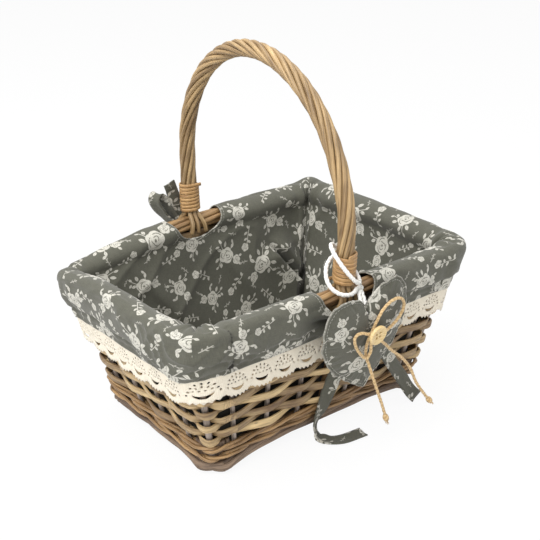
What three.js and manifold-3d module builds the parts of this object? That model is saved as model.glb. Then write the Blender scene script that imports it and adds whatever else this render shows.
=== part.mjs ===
// A lined willow basket with a fixed hoop handle and a padded heart hung on a cord, in millimetres, +Z up.
// The origin is the middle of the underside. X runs along the basket, and the handle stands across it, in Y.

import * as THREE from "three";
import { mergeVertices } from "three/addons/utils/BufferGeometryUtils.js";
import Module from "manifold-3d";

const wasm = await Module();
wasm.setup();

const { lerp } = THREE.MathUtils;

// The willow body, measured on the line of its stakes
const BASE_LENGTH = 244;
const BASE_WIDTH = 167;
const RIM_LENGTH = 320;
const HANDLE_SPAN = 234; // of the hoop's centre line
const HANDLE_OVERHANG = 4; // of the hoop beyond the rim's stakes, on each side
const RIM_WIDTH = HANDLE_SPAN - 2 * HANDLE_OVERHANG;
const RIM_HEIGHT = 150;
const BASE_CORNER_RADIUS = 14;
const RIM_CORNER_RADIUS = 22;
const CLEARANCE = 0.3;

// Foot rails, stakes and corner posts
const FOOT_WIDTH = 9;
const FOOT_HEIGHT = 11;
const FOOT_CHAMFER = 2;
const LONG_FOOT_ARCH = 6; // rise of the rail in the middle of a long side
const SHORT_FOOT_ARCH = 3;
const FOOT_STEPS = 6;
const STAKE_DIAMETER = 4.4;
const POST_DIAMETER = 6;
const LONG_SIDE_STAKES = 3; // on each half of a long side, beside the handle leg
const SHORT_SIDE_STAKES = 4;
const FIRST_STAKE_SHARE = 0.26; // of half the straight run of a long side
const LAST_STAKE_SHARE = 0.9;
const SHORT_STAKE_SHARE = 0.8;
const ROD_SIDES = 6;

// Woven wall: a pair of twined rods at the bottom, then rows of split willow
const WALE_HEIGHT = 24;
const WALE_DIAMETER = 4.2;
const WALE_SIDES = 4;
const FIRST_ROW_HEIGHT = 38;
const ROW_PITCH = 8.2;
const STRIP_HEIGHT = 7.4;
const STRIP_THICKNESS = 2.4;
const UPRIGHT_FLAT = 4; // stretch over which a weaver lies flat against an upright at a corner

// Woven base: sticks along X, and one strip that snakes across them
const BASE_STICKS = 5;
const BASE_STICK_DIAMETER = 7;
const BASE_STICK_SPACING = 26;
const BASE_STRIP_WIDTH = 17;
const BASE_STRIP_THICKNESS = 2.2;
const BASE_STRIP_PITCH = 21;
const BASE_STRIP_RUNS = 9;
const BASE_STRIP_FLAT = 8;
const BASE_TURN_STEPS = 3;

// Rim border: stakes laid down in three bundles that turn about each other
const BORDER_RADIUS = 8;
const BORDER_GROOVE = 1.7;
const BORDER_BUNDLES = 3;
const BORDER_TURNS = 6;
const CORNER_STEPS = 6;
const BORDER_SIDE_STEPS = 4;

// Hoop handle, on its centre line
const HANDLE_HEIGHT = 346;
const HANDLE_SPRING_HEIGHT = 215;
const HANDLE_LEAN = 8; // of the top of the hoop towards the back
const HANDLE_LEG_FOOT = 31; // height of the buried ends of the legs
const CORE_DIAMETER = 6.6;
const CORE_STEPS = 44;
const CORE_SIDES = 6;
const ROPE_RODS = 8;
const ROPE_ROD_DIAMETER = 4;
const ROPE_GAP = 0.9;
const ROPE_TURNS = 3;
const ROPE_STEPS = 34;
const ROPE_SIDES = 5;
const ROPE_SLACK = 0.3; // 0 twists evenly, and more twists the top tighter than the legs
const ROPE_START = 3; // height of the rods' ends above the rim border
const BINDING_START = 5;
const BINDING_TURNS = 7.5;
const BINDING_PITCH = 3.7;
const BINDING_WIDTH = 2.9;
const BINDING_THICKNESS = 1.2;
const BINDING_GAP = 0.7;
const BINDING_STEPS = 11; // in each turn
const BINDING_END = 7; // straight stretch of cane at each end

// Fabric liner
const FABRIC = 1.6;
const FOLD_STEPS = 6;
const LONG_HEM_HEIGHT = 116;
const SHORT_HEM_HEIGHT = 99;
const NOTCH_WIDTH = 62;
const NOTCH_HEIGHT = 38;
const NOTCH_CENTRE = 153;
const NOTCH_SIDES = 16;
const SLIT_WIDTH = 5;

// Lace under the hem
const LACE_DROP = 25;
const LACE_OVERLAP = 4;
const LACE_THICKNESS = 0.8;
const LACE_GAP = 0.6;
const SCALLOP_LENGTH = 26;
const SCALLOP_DEPTH = 4;
const SCALLOP_STEPS = 3;

// Fabric ties
const TIE_WIDTH = 11;
const TIE_THICKNESS = 1.4;
const TIE_KNOT_WIDTH = 14;
const TIE_KNOT_DEPTH = 8;
const TIE_KNOT_HEIGHT = 12;
const TIE_HEIGHT = 136;
const TIE_STEPS = 18;

// Padded heart, button and cords
const HEART_WIDTH = 98;
const HEART_LOBE = 21; // rise of the lobes above the cleft
const HEART_DROP = 94; // from the cleft to the tip
const HEART_THICKNESS = 16;
const HEART_EDGE = 1.6;
const HEART_SHOULDER = 18; // level of the widest part below the cleft
const HEART_MIDDLE = -28; // level of the thickest part, from the cleft
const HEART_CURVE_STEPS = 5;
const HEART_LEAN = 11; // degrees, so that the tip leans on the wall
const HEART_ROLL = -10; // degrees about its own face, so that the tip swings to the right
const HEART_X = 3;
const HEART_CLEFT_HEIGHT = 145;
const HEART_STAND_OFF = 29.5; // from the line of the stakes to the cleft
const BUTTON_DROP = 18;
const BUTTON_DIAMETER = 19;
const BUTTON_THICKNESS = 3.6;
const BUTTON_RIM = 2;
const BUTTON_DISH = 0.8;
const BUTTON_HOLE = 1.9;
const BUTTON_HOLE_SPREAD = 2.4;
const BUTTON_SIDES = 18;
const CORD_DIAMETER = 4;
const CORD_KNOT_DIAMETER = 8;
const STRAND_SPREAD = 3; // between the two strands that carry the heart
const STRAND_END = 2; // above the cleft
const CORD_LOOP_RADIUS = 13;
const CORD_LOOP_HEIGHT = 181;
const CORD_LOOP_TILT = 17; // drop of the loop's low point below its middle
const CORD_LOOP_TURN = 45; // degrees from the front to the loop's low point
const CORD_LOOP_OPENING = 7; // degrees, on each side of the knot
const CORD_LOOP_STEPS = 20;
const TWINE_DIAMETER = 3;
const TWINE_STEPS = 84;

// Colours of the photographed object
const WILLOW = new THREE.MeshStandardMaterial({ color: 0xbfa173, roughness: 0.65, metalness: 0 });
const STAKE_WILLOW = new THREE.MeshStandardMaterial({ color: 0xaba19b, roughness: 0.7, metalness: 0 });
const WALE_WILLOW = new THREE.MeshStandardMaterial({ color: 0xa97b4e, roughness: 0.6, metalness: 0 });
const FOOT_WILLOW = new THREE.MeshStandardMaterial({ color: 0x6e5f55, roughness: 0.75, metalness: 0 });
const HANDLE_WILLOW = new THREE.MeshStandardMaterial({ color: 0xbe9664, roughness: 0.5, metalness: 0 });
const CLOTH = new THREE.MeshStandardMaterial({ color: 0x5f625a, roughness: 0.95, metalness: 0 });
const LACE = new THREE.MeshStandardMaterial({ color: 0xf0e8d7, roughness: 0.9, metalness: 0 });
const BUTTON_WOOD = new THREE.MeshStandardMaterial({ color: 0xebd296, roughness: 0.5, metalness: 0 });
const COTTON = new THREE.MeshStandardMaterial({ color: 0xf4f1ea, roughness: 0.9, metalness: 0 });
const RAFFIA = new THREE.MeshStandardMaterial({ color: 0xd7af6e, roughness: 0.8, metalness: 0 });

// Closed meshes

const quad = (a, b, c, d) => [[a, b, c], [a, c, d]];

// A geometry from shared points and triangles, turned inside out if its faces point in
function solid(points, triangles) {
  const volume = triangles.reduce((sum, [a, b, c]) => {
    const normal = new THREE.Vector3().crossVectors(points[b], points[c]);
    return sum + points[a].dot(normal);
  }, 0);
  const facing = volume < 0 ? triangles.map(([a, b, c]) => [a, c, b]) : triangles;
  const geometry = new THREE.BufferGeometry().setFromPoints(points);
  geometry.setIndex(facing.flat());
  return geometry;
}

function middle(ring) {
  const sum = new THREE.Vector3();
  ring.forEach((point) => sum.add(point));
  return sum.divideScalar(ring.length);
}

// The faces between neighbouring rings of points, joined end to start or capped about the middle of each end
function loft(rings, closed = false) {
  const size = rings[0].length;
  const points = rings.flat();
  const triangles = [];
  const spans = closed ? rings.length : rings.length - 1;
  for (let i = 0; i < spans; i += 1) {
    const here = i * size;
    const next = ((i + 1) % rings.length) * size;
    for (let j = 0; j < size; j += 1) {
      const k = (j + 1) % size;
      triangles.push(...quad(here + j, next + j, next + k, here + k));
    }
  }
  if (!closed) {
    const last = (rings.length - 1) * size;
    const first = points.push(middle(rings[0])) - 1;
    const end = points.push(middle(rings.at(-1))) - 1;
    for (let j = 0; j < size; j += 1) {
      const k = (j + 1) % size;
      triangles.push([first, j, k], [end, last + k, last + j]);
    }
  }
  return solid(points, triangles);
}

// A thin piece between two grids of points, its face and its back
function shell(face, back) {
  const rows = face.length;
  const columns = face[0].length;
  const points = [...face.flat(), ...back.flat()];
  const onFace = (i, j) => i * columns + j;
  const onBack = (i, j) => (rows + i) * columns + j;
  const triangles = [];
  for (let i = 0; i + 1 < rows; i += 1) {
    for (let j = 0; j + 1 < columns; j += 1) {
      triangles.push(...quad(onFace(i, j), onFace(i + 1, j), onFace(i + 1, j + 1), onFace(i, j + 1)));
      triangles.push(...quad(onBack(i, j), onBack(i, j + 1), onBack(i + 1, j + 1), onBack(i + 1, j)));
    }
    const end = columns - 1;
    triangles.push(...quad(onFace(i, 0), onBack(i, 0), onBack(i + 1, 0), onFace(i + 1, 0)));
    triangles.push(...quad(onFace(i, end), onFace(i + 1, end), onBack(i + 1, end), onBack(i, end)));
  }
  for (let j = 0; j + 1 < columns; j += 1) {
    const end = rows - 1;
    triangles.push(...quad(onFace(0, j), onFace(0, j + 1), onBack(0, j + 1), onBack(0, j)));
    triangles.push(...quad(onFace(end, j), onBack(end, j), onBack(end, j + 1), onFace(end, j + 1)));
  }
  return solid(points, triangles);
}

function toManifold(geometry) {
  const bare = geometry.clone();
  bare.deleteAttribute("normal");
  bare.deleteAttribute("uv");
  const merged = mergeVertices(bare, 1e-4);
  const vertProperties = merged.attributes.position.array;
  const triVerts = new Uint32Array(merged.index.array);
  return new wasm.Manifold(new wasm.Mesh({ numProp: 3, vertProperties, triVerts }));
}

function toGeometry(manifold) {
  const mesh = manifold.getMesh();
  const geometry = new THREE.BufferGeometry();
  geometry.setAttribute("position", new THREE.BufferAttribute(mesh.vertProperties, mesh.numProp));
  geometry.setIndex(new THREE.BufferAttribute(mesh.triVerts, 1));
  return geometry;
}

function join(...geometries) {
  const [first, ...others] = geometries.map(toManifold);
  return toGeometry(others.reduce((sum, other) => sum.add(other), first));
}

function cut(geometry, ...cutters) {
  const left = cutters.map(toManifold).reduce((whole, cutter) => whole.subtract(cutter), toManifold(geometry));
  return toGeometry(left);
}

// A round section with its corners on the circle, as offsets
function circle(radius, sides) {
  return Array.from({ length: sides }, (_, i) => {
    const angle = (2 * Math.PI * (i + 0.5)) / sides;
    return [radius * Math.cos(angle), radius * Math.sin(angle)];
  });
}

function rectangle(width, height) {
  return [[-1, -1], [1, -1], [1, 1], [-1, 1]].map(([x, y]) => [(x * width) / 2, (y * height) / 2]);
}

// A tube of round section along a curve
function tube(curve, diameter, sides, steps) {
  const section = new THREE.Shape(circle(diameter / 2, sides).map(([x, y]) => new THREE.Vector2(x, y)));
  return new THREE.ExtrudeGeometry(section, { extrudePath: curve, steps, bevelEnabled: false });
}

// The wall: a place on it is a number from 0 to 8, counter-clockwise from the left end of the front.
// Each whole number starts a straight side or the corner after it, so places keep their share at any height.

const SIDES = [
  { name: "front", out: new THREE.Vector3(0, -1, 0), run: new THREE.Vector3(1, 0, 0) },
  { name: "right", out: new THREE.Vector3(1, 0, 0), run: new THREE.Vector3(0, 1, 0) },
  { name: "back", out: new THREE.Vector3(0, 1, 0), run: new THREE.Vector3(-1, 0, 0) },
  { name: "left", out: new THREE.Vector3(-1, 0, 0), run: new THREE.Vector3(0, -1, 0) },
];
const PLACES = 2 * SIDES.length;
const FRONT_MIDDLE = 1 / 2;
const BACK_MIDDLE = FRONT_MIDDLE + PLACES / 2;

const halfLength = (z) => lerp(BASE_LENGTH, RIM_LENGTH, z / RIM_HEIGHT) / 2;
const halfWidth = (z) => lerp(BASE_WIDTH, RIM_WIDTH, z / RIM_HEIGHT) / 2;
const cornerRadius = (z) => lerp(BASE_CORNER_RADIUS, RIM_CORNER_RADIUS, z / RIM_HEIGHT);

function onWall(place, z, out = 0) {
  const segment = THREE.MathUtils.euclideanModulo(Math.floor(place), PLACES);
  const share = place - Math.floor(place);
  const side = SIDES[Math.floor(segment / 2)];
  const isEnd = side.out.x !== 0;
  const radius = cornerRadius(z);
  const reach = isEnd ? halfLength(z) : halfWidth(z);
  const straight = (isEnd ? halfWidth(z) : halfLength(z)) - radius;
  const point = new THREE.Vector3(0, 0, z);
  if (segment % 2 === 0) {
    return point.addScaledVector(side.out, reach + out).addScaledVector(side.run, (2 * share - 1) * straight);
  }
  const angle = (share * Math.PI) / 2;
  point.addScaledVector(side.out, reach - radius + (radius + out) * Math.cos(angle));
  return point.addScaledVector(side.run, straight + (radius + out) * Math.sin(angle));
}

// The places at half a stretch before and after a place
function around(place, z, stretch) {
  const straight = place >= 2 && place % 4 >= 2 ? halfWidth(z) : halfLength(z);
  const length = Math.floor(place) % 2 ? (cornerRadius(z) * Math.PI) / 2 : 2 * (straight - cornerRadius(z));
  return [place - stretch / 2 / length, place + stretch / 2 / length];
}

// A section laid across the wall: each of its points is an offset outward and upward
function acrossWall(place, z, out, section) {
  return section.map(([outward, upward]) => onWall(place, z + upward, out + outward));
}

// Places from one to another with the same stations on every layer, so that layers stay parallel at the corners
function stations(from, to, sideSteps = 1) {
  const places = [from];
  for (let segment = Math.floor(from); segment < to; segment += 1) {
    const steps = Math.abs(segment % 2) ? CORNER_STEPS : sideSteps;
    for (let step = 0; step < steps; step += 1) {
      const place = segment + step / steps;
      if (place > from && place < to) {
        places.push(place);
      }
    }
  }
  return [...places, to];
}

// Places at even distances along the wall
function evenPlaces(from, to, z, count) {
  const fine = 2000;
  const places = Array.from({ length: fine + 1 }, (_, i) => lerp(from, to, i / fine));
  const lengths = [0];
  for (let i = 1; i <= fine; i += 1) {
    lengths.push(lengths[i - 1] + onWall(places[i], z).distanceTo(onWall(places[i - 1], z)));
  }
  return Array.from({ length: count + 1 }, (_, i) => {
    const at = (lengths[fine] * i) / count;
    return places[Math.max(0, lengths.findIndex((length) => length >= at - 1e-6))];
  });
}

function wallLength(from, to, z) {
  const places = stations(from, to);
  return places.slice(1).reduce((sum, place, i) => sum + onWall(place, z).distanceTo(onWall(places[i], z)), 0);
}

// Uprights that the weave goes round: stakes, corner posts and the two legs of the handle

const STAKE = { name: "stake", radius: STAKE_DIAMETER / 2 };
const POST = { name: "post", radius: POST_DIAMETER / 2 };
const LEG = { name: "leg", radius: CORE_DIAMETER / 2 };

function sideUprights(segment) {
  const at = (share, upright) => ({ ...upright, place: segment + (1 + share) / 2 });
  const evenly = (first, last, count) =>
    Array.from({ length: count }, (_, i) => lerp(first, last, i / (count - 1)));
  if (segment % 4 === 0) {
    const shares = evenly(FIRST_STAKE_SHARE, LAST_STAKE_SHARE, LONG_SIDE_STAKES);
    const firstHalf = shares.toReversed().map((share) => at(-share, STAKE));
    return [...firstHalf, at(0, LEG), ...shares.map((share) => at(share, STAKE))];
  }
  return evenly(-SHORT_STAKE_SHARE, SHORT_STAKE_SHARE, SHORT_SIDE_STAKES).map((share) => at(share, STAKE));
}

const UPRIGHTS = [0, 2, 4, 6].flatMap((segment) => [
  ...sideUprights(segment),
  { ...POST, place: segment + 1.5 },
]);
const STAKE_TOP = RIM_HEIGHT - BORDER_RADIUS - CLEARANCE;

// Where a weaver bends at an upright: in one place, or in two at a corner, where it turns sharply
function bends(uprights, i, z) {
  const isPost = ({ name }) => name === POST.name;
  const nearCorner = [uprights.at(i - 1), uprights[i], uprights[(i + 1) % uprights.length]].some(isPost);
  return nearCorner ? around(uprights[i].place, z, UPRIGHT_FLAT) : [uprights[i].place];
}

// The rails arch up a little between the corners
function footRise(place) {
  const segment = THREE.MathUtils.euclideanModulo(Math.floor(place), PLACES);
  const share = place - Math.floor(place);
  const arch = segment % 4 === 0 ? LONG_FOOT_ARCH : SHORT_FOOT_ARCH;
  return segment % 2 === 0 ? 4 * arch * share * (1 - share) : 0;
}

function upright(place, radius, bottom, top) {
  return loft([bottom, top].map((z) => {
    const centre = onWall(place, z);
    return circle(radius, ROD_SIDES).map(([x, y]) => new THREE.Vector3(x, y, 0).add(centre));
  }));
}

// One side's foot rail with the stakes that spring from it
function sideFrame(segment) {
  const inset = (POST.radius + CLEARANCE) / ((cornerRadius(0) * Math.PI) / 2);
  const [half, edge, top] = [FOOT_WIDTH / 2, FOOT_WIDTH / 2 - FOOT_CHAMFER, FOOT_HEIGHT];
  const section = [
    [-edge, 0], [edge, 0], [half, FOOT_CHAMFER], [half, top - FOOT_CHAMFER],
    [edge, top], [-edge, top], [-half, top - FOOT_CHAMFER], [-half, FOOT_CHAMFER],
  ];
  const places = stations(segment - 0.5 + inset, segment + 1.5 - inset, FOOT_STEPS);
  const rail = loft(places.map((place) => acrossWall(place, footRise(place), 0, section)));
  const stakes = sideUprights(segment)
    .filter(({ name }) => name === STAKE.name)
    .map(({ place, radius }) => upright(place, radius, footRise(place) + FOOT_HEIGHT / 2, STAKE_TOP));
  return join(rail, ...stakes);
}

const cornerPost = (segment) => upright(segment + 1.5, POST.radius, 0, STAKE_TOP);

// Wall weave

// One of the two rods that twine below the handle's legs, in front of every second upright, then behind
function waleRod(phase) {
  const section = circle(WALE_DIAMETER / 2, WALE_SIDES);
  const lift = (WALE_DIAMETER + CLEARANCE) / 2;
  const uprights = UPRIGHTS.filter(({ name }) => name !== LEG.name);
  const rings = uprights.flatMap(({ place, radius }, i) => {
    const next = uprights[(i + 1) % uprights.length].place;
    const between = (place + (next > place ? next : next + PLACES)) / 2;
    const side = (i + phase) % 2 ? 1 : -1;
    const out = side * (radius + CLEARANCE + WALE_DIAMETER / 2);
    return [
      ...bends(uprights, i, WALE_HEIGHT).map((bend) => acrossWall(bend, WALE_HEIGHT, out, section)),
      acrossWall(between, WALE_HEIGHT - side * lift, 0, section),
    ];
  });
  return loft(rings, true);
}

// A row of split willow, in front of every second upright and behind the others
function weaveRow(row) {
  const section = rectangle(STRIP_THICKNESS, STRIP_HEIGHT);
  const z = FIRST_ROW_HEIGHT + row * ROW_PITCH;
  const rings = UPRIGHTS.flatMap(({ radius }, i) => {
    const side = (i + row) % 2 ? 1 : -1;
    const out = side * (radius + CLEARANCE + STRIP_THICKNESS / 2);
    return bends(UPRIGHTS, i, z).map((bend) => acrossWall(bend, z, out, section));
  });
  return loft(rings, true);
}

const ROWS = Math.floor((STAKE_TOP - STRIP_HEIGHT / 2 - FIRST_ROW_HEIGHT) / ROW_PITCH) + 1;

// Woven base

const BASE_STICK_HEIGHT = BASE_STRIP_THICKNESS + CLEARANCE + BASE_STICK_DIAMETER / 2;
const BASE_TOP = 2 * BASE_STICK_HEIGHT;
const stickY = (stick) => (stick - (BASE_STICKS - 1) / 2) * BASE_STICK_SPACING;

function baseStick(stick) {
  const end = halfLength(0) - FOOT_WIDTH / 2 - CLEARANCE;
  const line = new THREE.LineCurve3(
    new THREE.Vector3(-end, stickY(stick), BASE_STICK_HEIGHT),
    new THREE.Vector3(end, stickY(stick), BASE_STICK_HEIGHT),
  );
  return tube(line, BASE_STICK_DIAMETER, ROD_SIDES, 1);
}

// The strip runs to and fro across the sticks, over one and under the next, and turns flat at each end
function baseStrip() {
  const lift = BASE_STICK_HEIGHT - BASE_STRIP_THICKNESS / 2;
  const turn = stickY(BASE_STICKS - 1) + BASE_STRIP_FLAT / 2 + BASE_STRIP_THICKNESS;
  const rings = [];
  const addRing = (x, y, z, acrossX, acrossY) => {
    const across = new THREE.Vector3(acrossX, acrossY, 0);
    rings.push(rectangle(BASE_STRIP_WIDTH, BASE_STRIP_THICKNESS).map(([side, up]) =>
      new THREE.Vector3(x, y, z + up).addScaledVector(across, side)));
  };
  for (let run = 0; run < BASE_STRIP_RUNS; run += 1) {
    const x = (run - (BASE_STRIP_RUNS - 1) / 2) * BASE_STRIP_PITCH;
    const way = run % 2 ? -1 : 1;
    for (let stick = 0; stick < BASE_STICKS; stick += 1) {
      const y = way * stickY(stick);
      const z = BASE_STICK_HEIGHT + ((run + stick) % 2 ? lift : -lift);
      addRing(x, y - (way * BASE_STRIP_FLAT) / 2, z, way, 0);
      addRing(x, y + (way * BASE_STRIP_FLAT) / 2, z, way, 0);
    }
    if (run + 1 < BASE_STRIP_RUNS) {
      const last = (run + BASE_STICKS - 1) % 2 ? lift : -lift;
      for (let step = 0; step <= BASE_TURN_STEPS; step += 1) {
        const angle = (Math.PI * step) / BASE_TURN_STEPS;
        const radius = BASE_STRIP_PITCH / 2;
        const z = BASE_STICK_HEIGHT + last * Math.cos(angle);
        const [cos, sin] = [Math.cos(angle), Math.sin(angle)];
        addRing(x + radius - radius * cos, way * (turn + radius * sin), z, way * cos, -sin);
      }
    }
  }
  return loft(rings);
}

// Hoop handle

const BORDER_TOP = RIM_HEIGHT + BORDER_RADIUS;
const handleLine = (() => {
  const half = HANDLE_SPAN / 2;
  const rise = HANDLE_HEIGHT - HANDLE_SPRING_HEIGHT;
  const leg = (side) => [0, 0.25, 0.5, 0.75, 1].map((share) => {
    const z = lerp(HANDLE_LEG_FOOT, BORDER_TOP, share);
    return new THREE.Vector3(0, side * halfWidth(z), z);
  });
  const arch = [0, 15, 30, 45, 60, 75, 90, 105, 120, 135, 150, 165, 180].map((degrees) => {
    const angle = THREE.MathUtils.degToRad(degrees);
    const y = half * Math.cos(angle) + HANDLE_LEAN * Math.sin(angle);
    return new THREE.Vector3(0, y, HANDLE_SPRING_HEIGHT + rise * Math.sin(angle));
  });
  return new THREE.CatmullRomCurve3([...leg(1), ...arch, ...leg(-1).toReversed()]);
})();

// The share of the handle's length at which its back leg reaches a height
function legShare(height) {
  let [low, high] = [0, 0.5];
  for (let i = 0; i < 40; i += 1) {
    const share = (low + high) / 2;
    if (handleLine.getPointAt(share).z < height) {
      low = share;
    } else {
      high = share;
    }
  }
  return low;
}

// A point beside the handle's centre line, at an angle that starts on the outside of the hoop
function besideHandle(share, radius, angle) {
  const tangent = handleLine.getTangentAt(share);
  const outside = new THREE.Vector3(0, -tangent.z, tangent.y).negate();
  const across = new THREE.Vector3(-1, 0, 0);
  const point = handleLine.getPointAt(share);
  return point
    .addScaledVector(outside, radius * Math.cos(angle))
    .addScaledVector(across, radius * Math.sin(angle));
}

const handleCore = () => tube(handleLine, CORE_DIAMETER, CORE_SIDES, CORE_STEPS);
const ROPE_RADIUS = CORE_DIAMETER / 2 + ROPE_GAP + ROPE_ROD_DIAMETER / 2;

// A rod of the roping: it winds round the core, faster over the top than on the legs
function ropeRod(rod) {
  const start = legShare(BORDER_TOP + ROPE_START);
  const section = circle(ROPE_ROD_DIAMETER / 2, ROPE_SIDES);
  const rings = [];
  for (let step = 0; step <= ROPE_STEPS; step += 1) {
    const wound = step / ROPE_STEPS;
    const eased = wound + (ROPE_SLACK * Math.sin(2 * Math.PI * wound)) / (2 * Math.PI);
    const share = lerp(start, 1 - start, eased);
    const angle = 2 * Math.PI * (rod / ROPE_RODS + ROPE_TURNS * wound);
    rings.push(section.map(([away, along]) => {
      const radius = ROPE_RADIUS + away;
      return besideHandle(share, Math.hypot(radius, along), angle + Math.atan2(along, radius));
    }));
  }
  return loft(rings);
}

const BINDING_RADIUS = ROPE_RADIUS + ROPE_ROD_DIAMETER / 2 + BINDING_GAP + BINDING_THICKNESS / 2;

// Flat cane wound round the foot of the hoop, one leg at a time, with a straight stretch at each end
function binding(isFront) {
  const length = handleLine.getLength();
  const bottom = legShare(BORDER_TOP + BINDING_START);
  const steps = BINDING_TURNS * BINDING_STEPS;
  const line = [];
  for (let step = 0; step <= steps; step += 1) {
    const turned = step / BINDING_STEPS;
    const up = bottom + (turned * BINDING_PITCH) / length;
    const share = isFront ? 1 - up : up;
    const angle = 2 * Math.PI * turned + (isFront ? Math.PI : 0);
    line.push({
      centre: besideHandle(share, BINDING_RADIUS, angle),
      away: besideHandle(share, 1, angle).sub(handleLine.getPointAt(share)),
      up: handleLine.getTangentAt(share),
    });
  }
  const stretch = (end, before) => {
    const way = end.centre.clone().sub(before.centre).projectOnPlane(end.up).setLength(BINDING_END);
    return { ...end, centre: end.centre.clone().add(way) };
  };
  const whole = [stretch(line[0], line[1]), ...line, stretch(line.at(-1), line.at(-2))];
  const name = isFront ? "front" : "back";
  console.log(`least gap between turns of the ${name} binding: ${turnGap(line).toFixed(2)} mm`);
  return loft(whole.map(({ centre, away, up }) =>
    rectangle(BINDING_THICKNESS, BINDING_WIDTH).map(([outward, along]) =>
      centre.clone().addScaledVector(away, outward).addScaledVector(up, along))));
}

// The least distance between a winding's own turns, less the width of the cane
function turnGap(line) {
  let least = Infinity;
  line.forEach(({ centre }, i) => {
    line.slice(i + BINDING_STEPS / 2).forEach((other) => {
      least = Math.min(least, centre.distanceTo(other.centre));
    });
  });
  return least - BINDING_WIDTH;
}

// Rim border, with a hole for each leg of the handle

function rimBorder() {
  const places = stations(0, PLACES, BORDER_SIDE_STEPS).slice(0, -1);
  const rings = places.map((place, i) => {
    const turn = (2 * Math.PI * BORDER_TURNS * i) / (BORDER_BUNDLES * places.length);
    const section = [];
    for (let point = 0; point < 3 * BORDER_BUNDLES; point += 1) {
      const angle = turn + (2 * Math.PI * point) / (3 * BORDER_BUNDLES);
      const radius = BORDER_RADIUS - (point % 3 ? 0 : BORDER_GROOVE);
      section.push([radius * Math.cos(angle), radius * Math.sin(angle)]);
    }
    return acrossWall(place, RIM_HEIGHT, 0, section);
  });
  return loft(rings, true);
}

// Fabric liner

const FOLD_RADIUS = BORDER_RADIUS + CLEARANCE + FABRIC / 2;
const LINER_FLOOR = BASE_TOP + CLEARANCE;
const CUFF_OUT = FOLD_RADIUS + FABRIC / 2;

// The hem hangs lower on the short sides, and slopes round the corners
function hemHeight(place) {
  const segment = THREE.MathUtils.euclideanModulo(Math.floor(place), PLACES);
  const share = place - Math.floor(place);
  const levels = [LONG_HEM_HEIGHT, SHORT_HEM_HEIGHT];
  const here = Math.floor(segment / 2) % 2;
  return segment % 2 === 0 ? levels[here] : lerp(levels[here], levels[1 - here], share);
}

// One side's panel: up the inside of the wall, over the border and down to the hem
function linerPanel(segment) {
  const seam = CLEARANCE / 2 / ((cornerRadius(0) * Math.PI) / 2);
  const places = stations(segment - 0.5 + seam, segment + 1.5 - seam);
  const layer = (radius) => places.map((place) => {
    const row = [onWall(place, LINER_FLOOR, -radius)];
    for (let step = 0; step <= FOLD_STEPS; step += 1) {
      const angle = Math.PI * (1 - step / FOLD_STEPS);
      row.push(onWall(place, RIM_HEIGHT + radius * Math.sin(angle), radius * Math.cos(angle)));
    }
    return [...row, onWall(place, hemHeight(place), radius)];
  });
  return shell(layer(FOLD_RADIUS + FABRIC / 2), layer(FOLD_RADIUS - FABRIC / 2));
}

// The opening for the handle in the panel of a long side, and the slit below it in the cuff
function notchedPanel(segment) {
  const side = SIDES[segment / 2].out.y;
  const reach = halfWidth(RIM_HEIGHT);
  const outline = new THREE.Shape().absellipse(0, 0, NOTCH_WIDTH / 2, NOTCH_HEIGHT / 2, 0, 2 * Math.PI);
  const opening = new THREE.ExtrudeGeometry(outline, {
    depth: reach, bevelEnabled: false, curveSegments: NOTCH_SIDES,
  });
  opening.translate(0, 0, -reach / 2).rotateX(Math.PI / 2).translate(0, side * reach, NOTCH_CENTRE);
  const slitHeight = NOTCH_CENTRE - LONG_HEM_HEIGHT + STRIP_HEIGHT;
  const slit = new THREE.BoxGeometry(SLIT_WIDTH, reach, slitHeight);
  slit.translate(0, side * (reach / 2 + halfWidth(LONG_HEM_HEIGHT)), NOTCH_CENTRE - slitHeight / 2);
  return cut(linerPanel(segment), opening, slit);
}

function linerFloor() {
  const inset = FOLD_RADIUS + FABRIC / 2 + CLEARANCE;
  const places = stations(0, PLACES).slice(0, -1);
  const outline = (z) => places.map((place) => onWall(place, z, -inset));
  return loft([outline(LINER_FLOOR), outline(LINER_FLOOR + FABRIC)]);
}

// Lace from slit to slit round one half of the basket, tucked behind the hem
function lace(from, to) {
  const level = LONG_HEM_HEIGHT;
  const gap = SLIT_WIDTH / 2 / (2 * (halfLength(level) - cornerRadius(level)));
  const scallops = Math.round(wallLength(from, to, level) / SCALLOP_LENGTH);
  const places = evenPlaces(from + gap, to - gap, level, scallops * SCALLOP_STEPS);
  const outside = FOLD_RADIUS - FABRIC / 2 - LACE_GAP;
  const layer = (out) => places.map((place, i) => {
    const arch = Math.sin((Math.PI * (i % SCALLOP_STEPS)) / SCALLOP_STEPS);
    const hem = hemHeight(place);
    const tip = hem - LACE_DROP + SCALLOP_DEPTH * (1 - arch);
    return [onWall(place, hem + LACE_OVERLAP, out), onWall(place, tip, out)];
  });
  return shell(layer(outside), layer(outside - LACE_THICKNESS));
}

// Fabric ties

// A point in front of a long side: across it, out from the line of its stakes, and up
function before(side, x, out, z) {
  return new THREE.Vector3(x, side * (halfWidth(z) + out), z);
}

// A flat strip along a curve, its width turning between the directions given for its points
function ribbon(points, directions) {
  const line = new THREE.CatmullRomCurve3(points);
  const turning = new THREE.CatmullRomCurve3(directions);
  const face = [];
  const back = [];
  for (let step = 0; step <= TIE_STEPS; step += 1) {
    const share = step / TIE_STEPS;
    const centre = line.getPoint(share);
    const along = line.getTangent(share);
    const across = turning.getPoint(share).projectOnPlane(along).setLength(TIE_WIDTH / 2);
    const off = across.clone().cross(along).setLength(TIE_THICKNESS / 2);
    const edges = [centre.clone().sub(across), centre.clone().add(across)];
    face.push(edges.map((edge) => edge.clone().add(off)));
    back.push(edges.map((edge) => edge.clone().sub(off)));
  }
  return shell(face, back);
}

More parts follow.
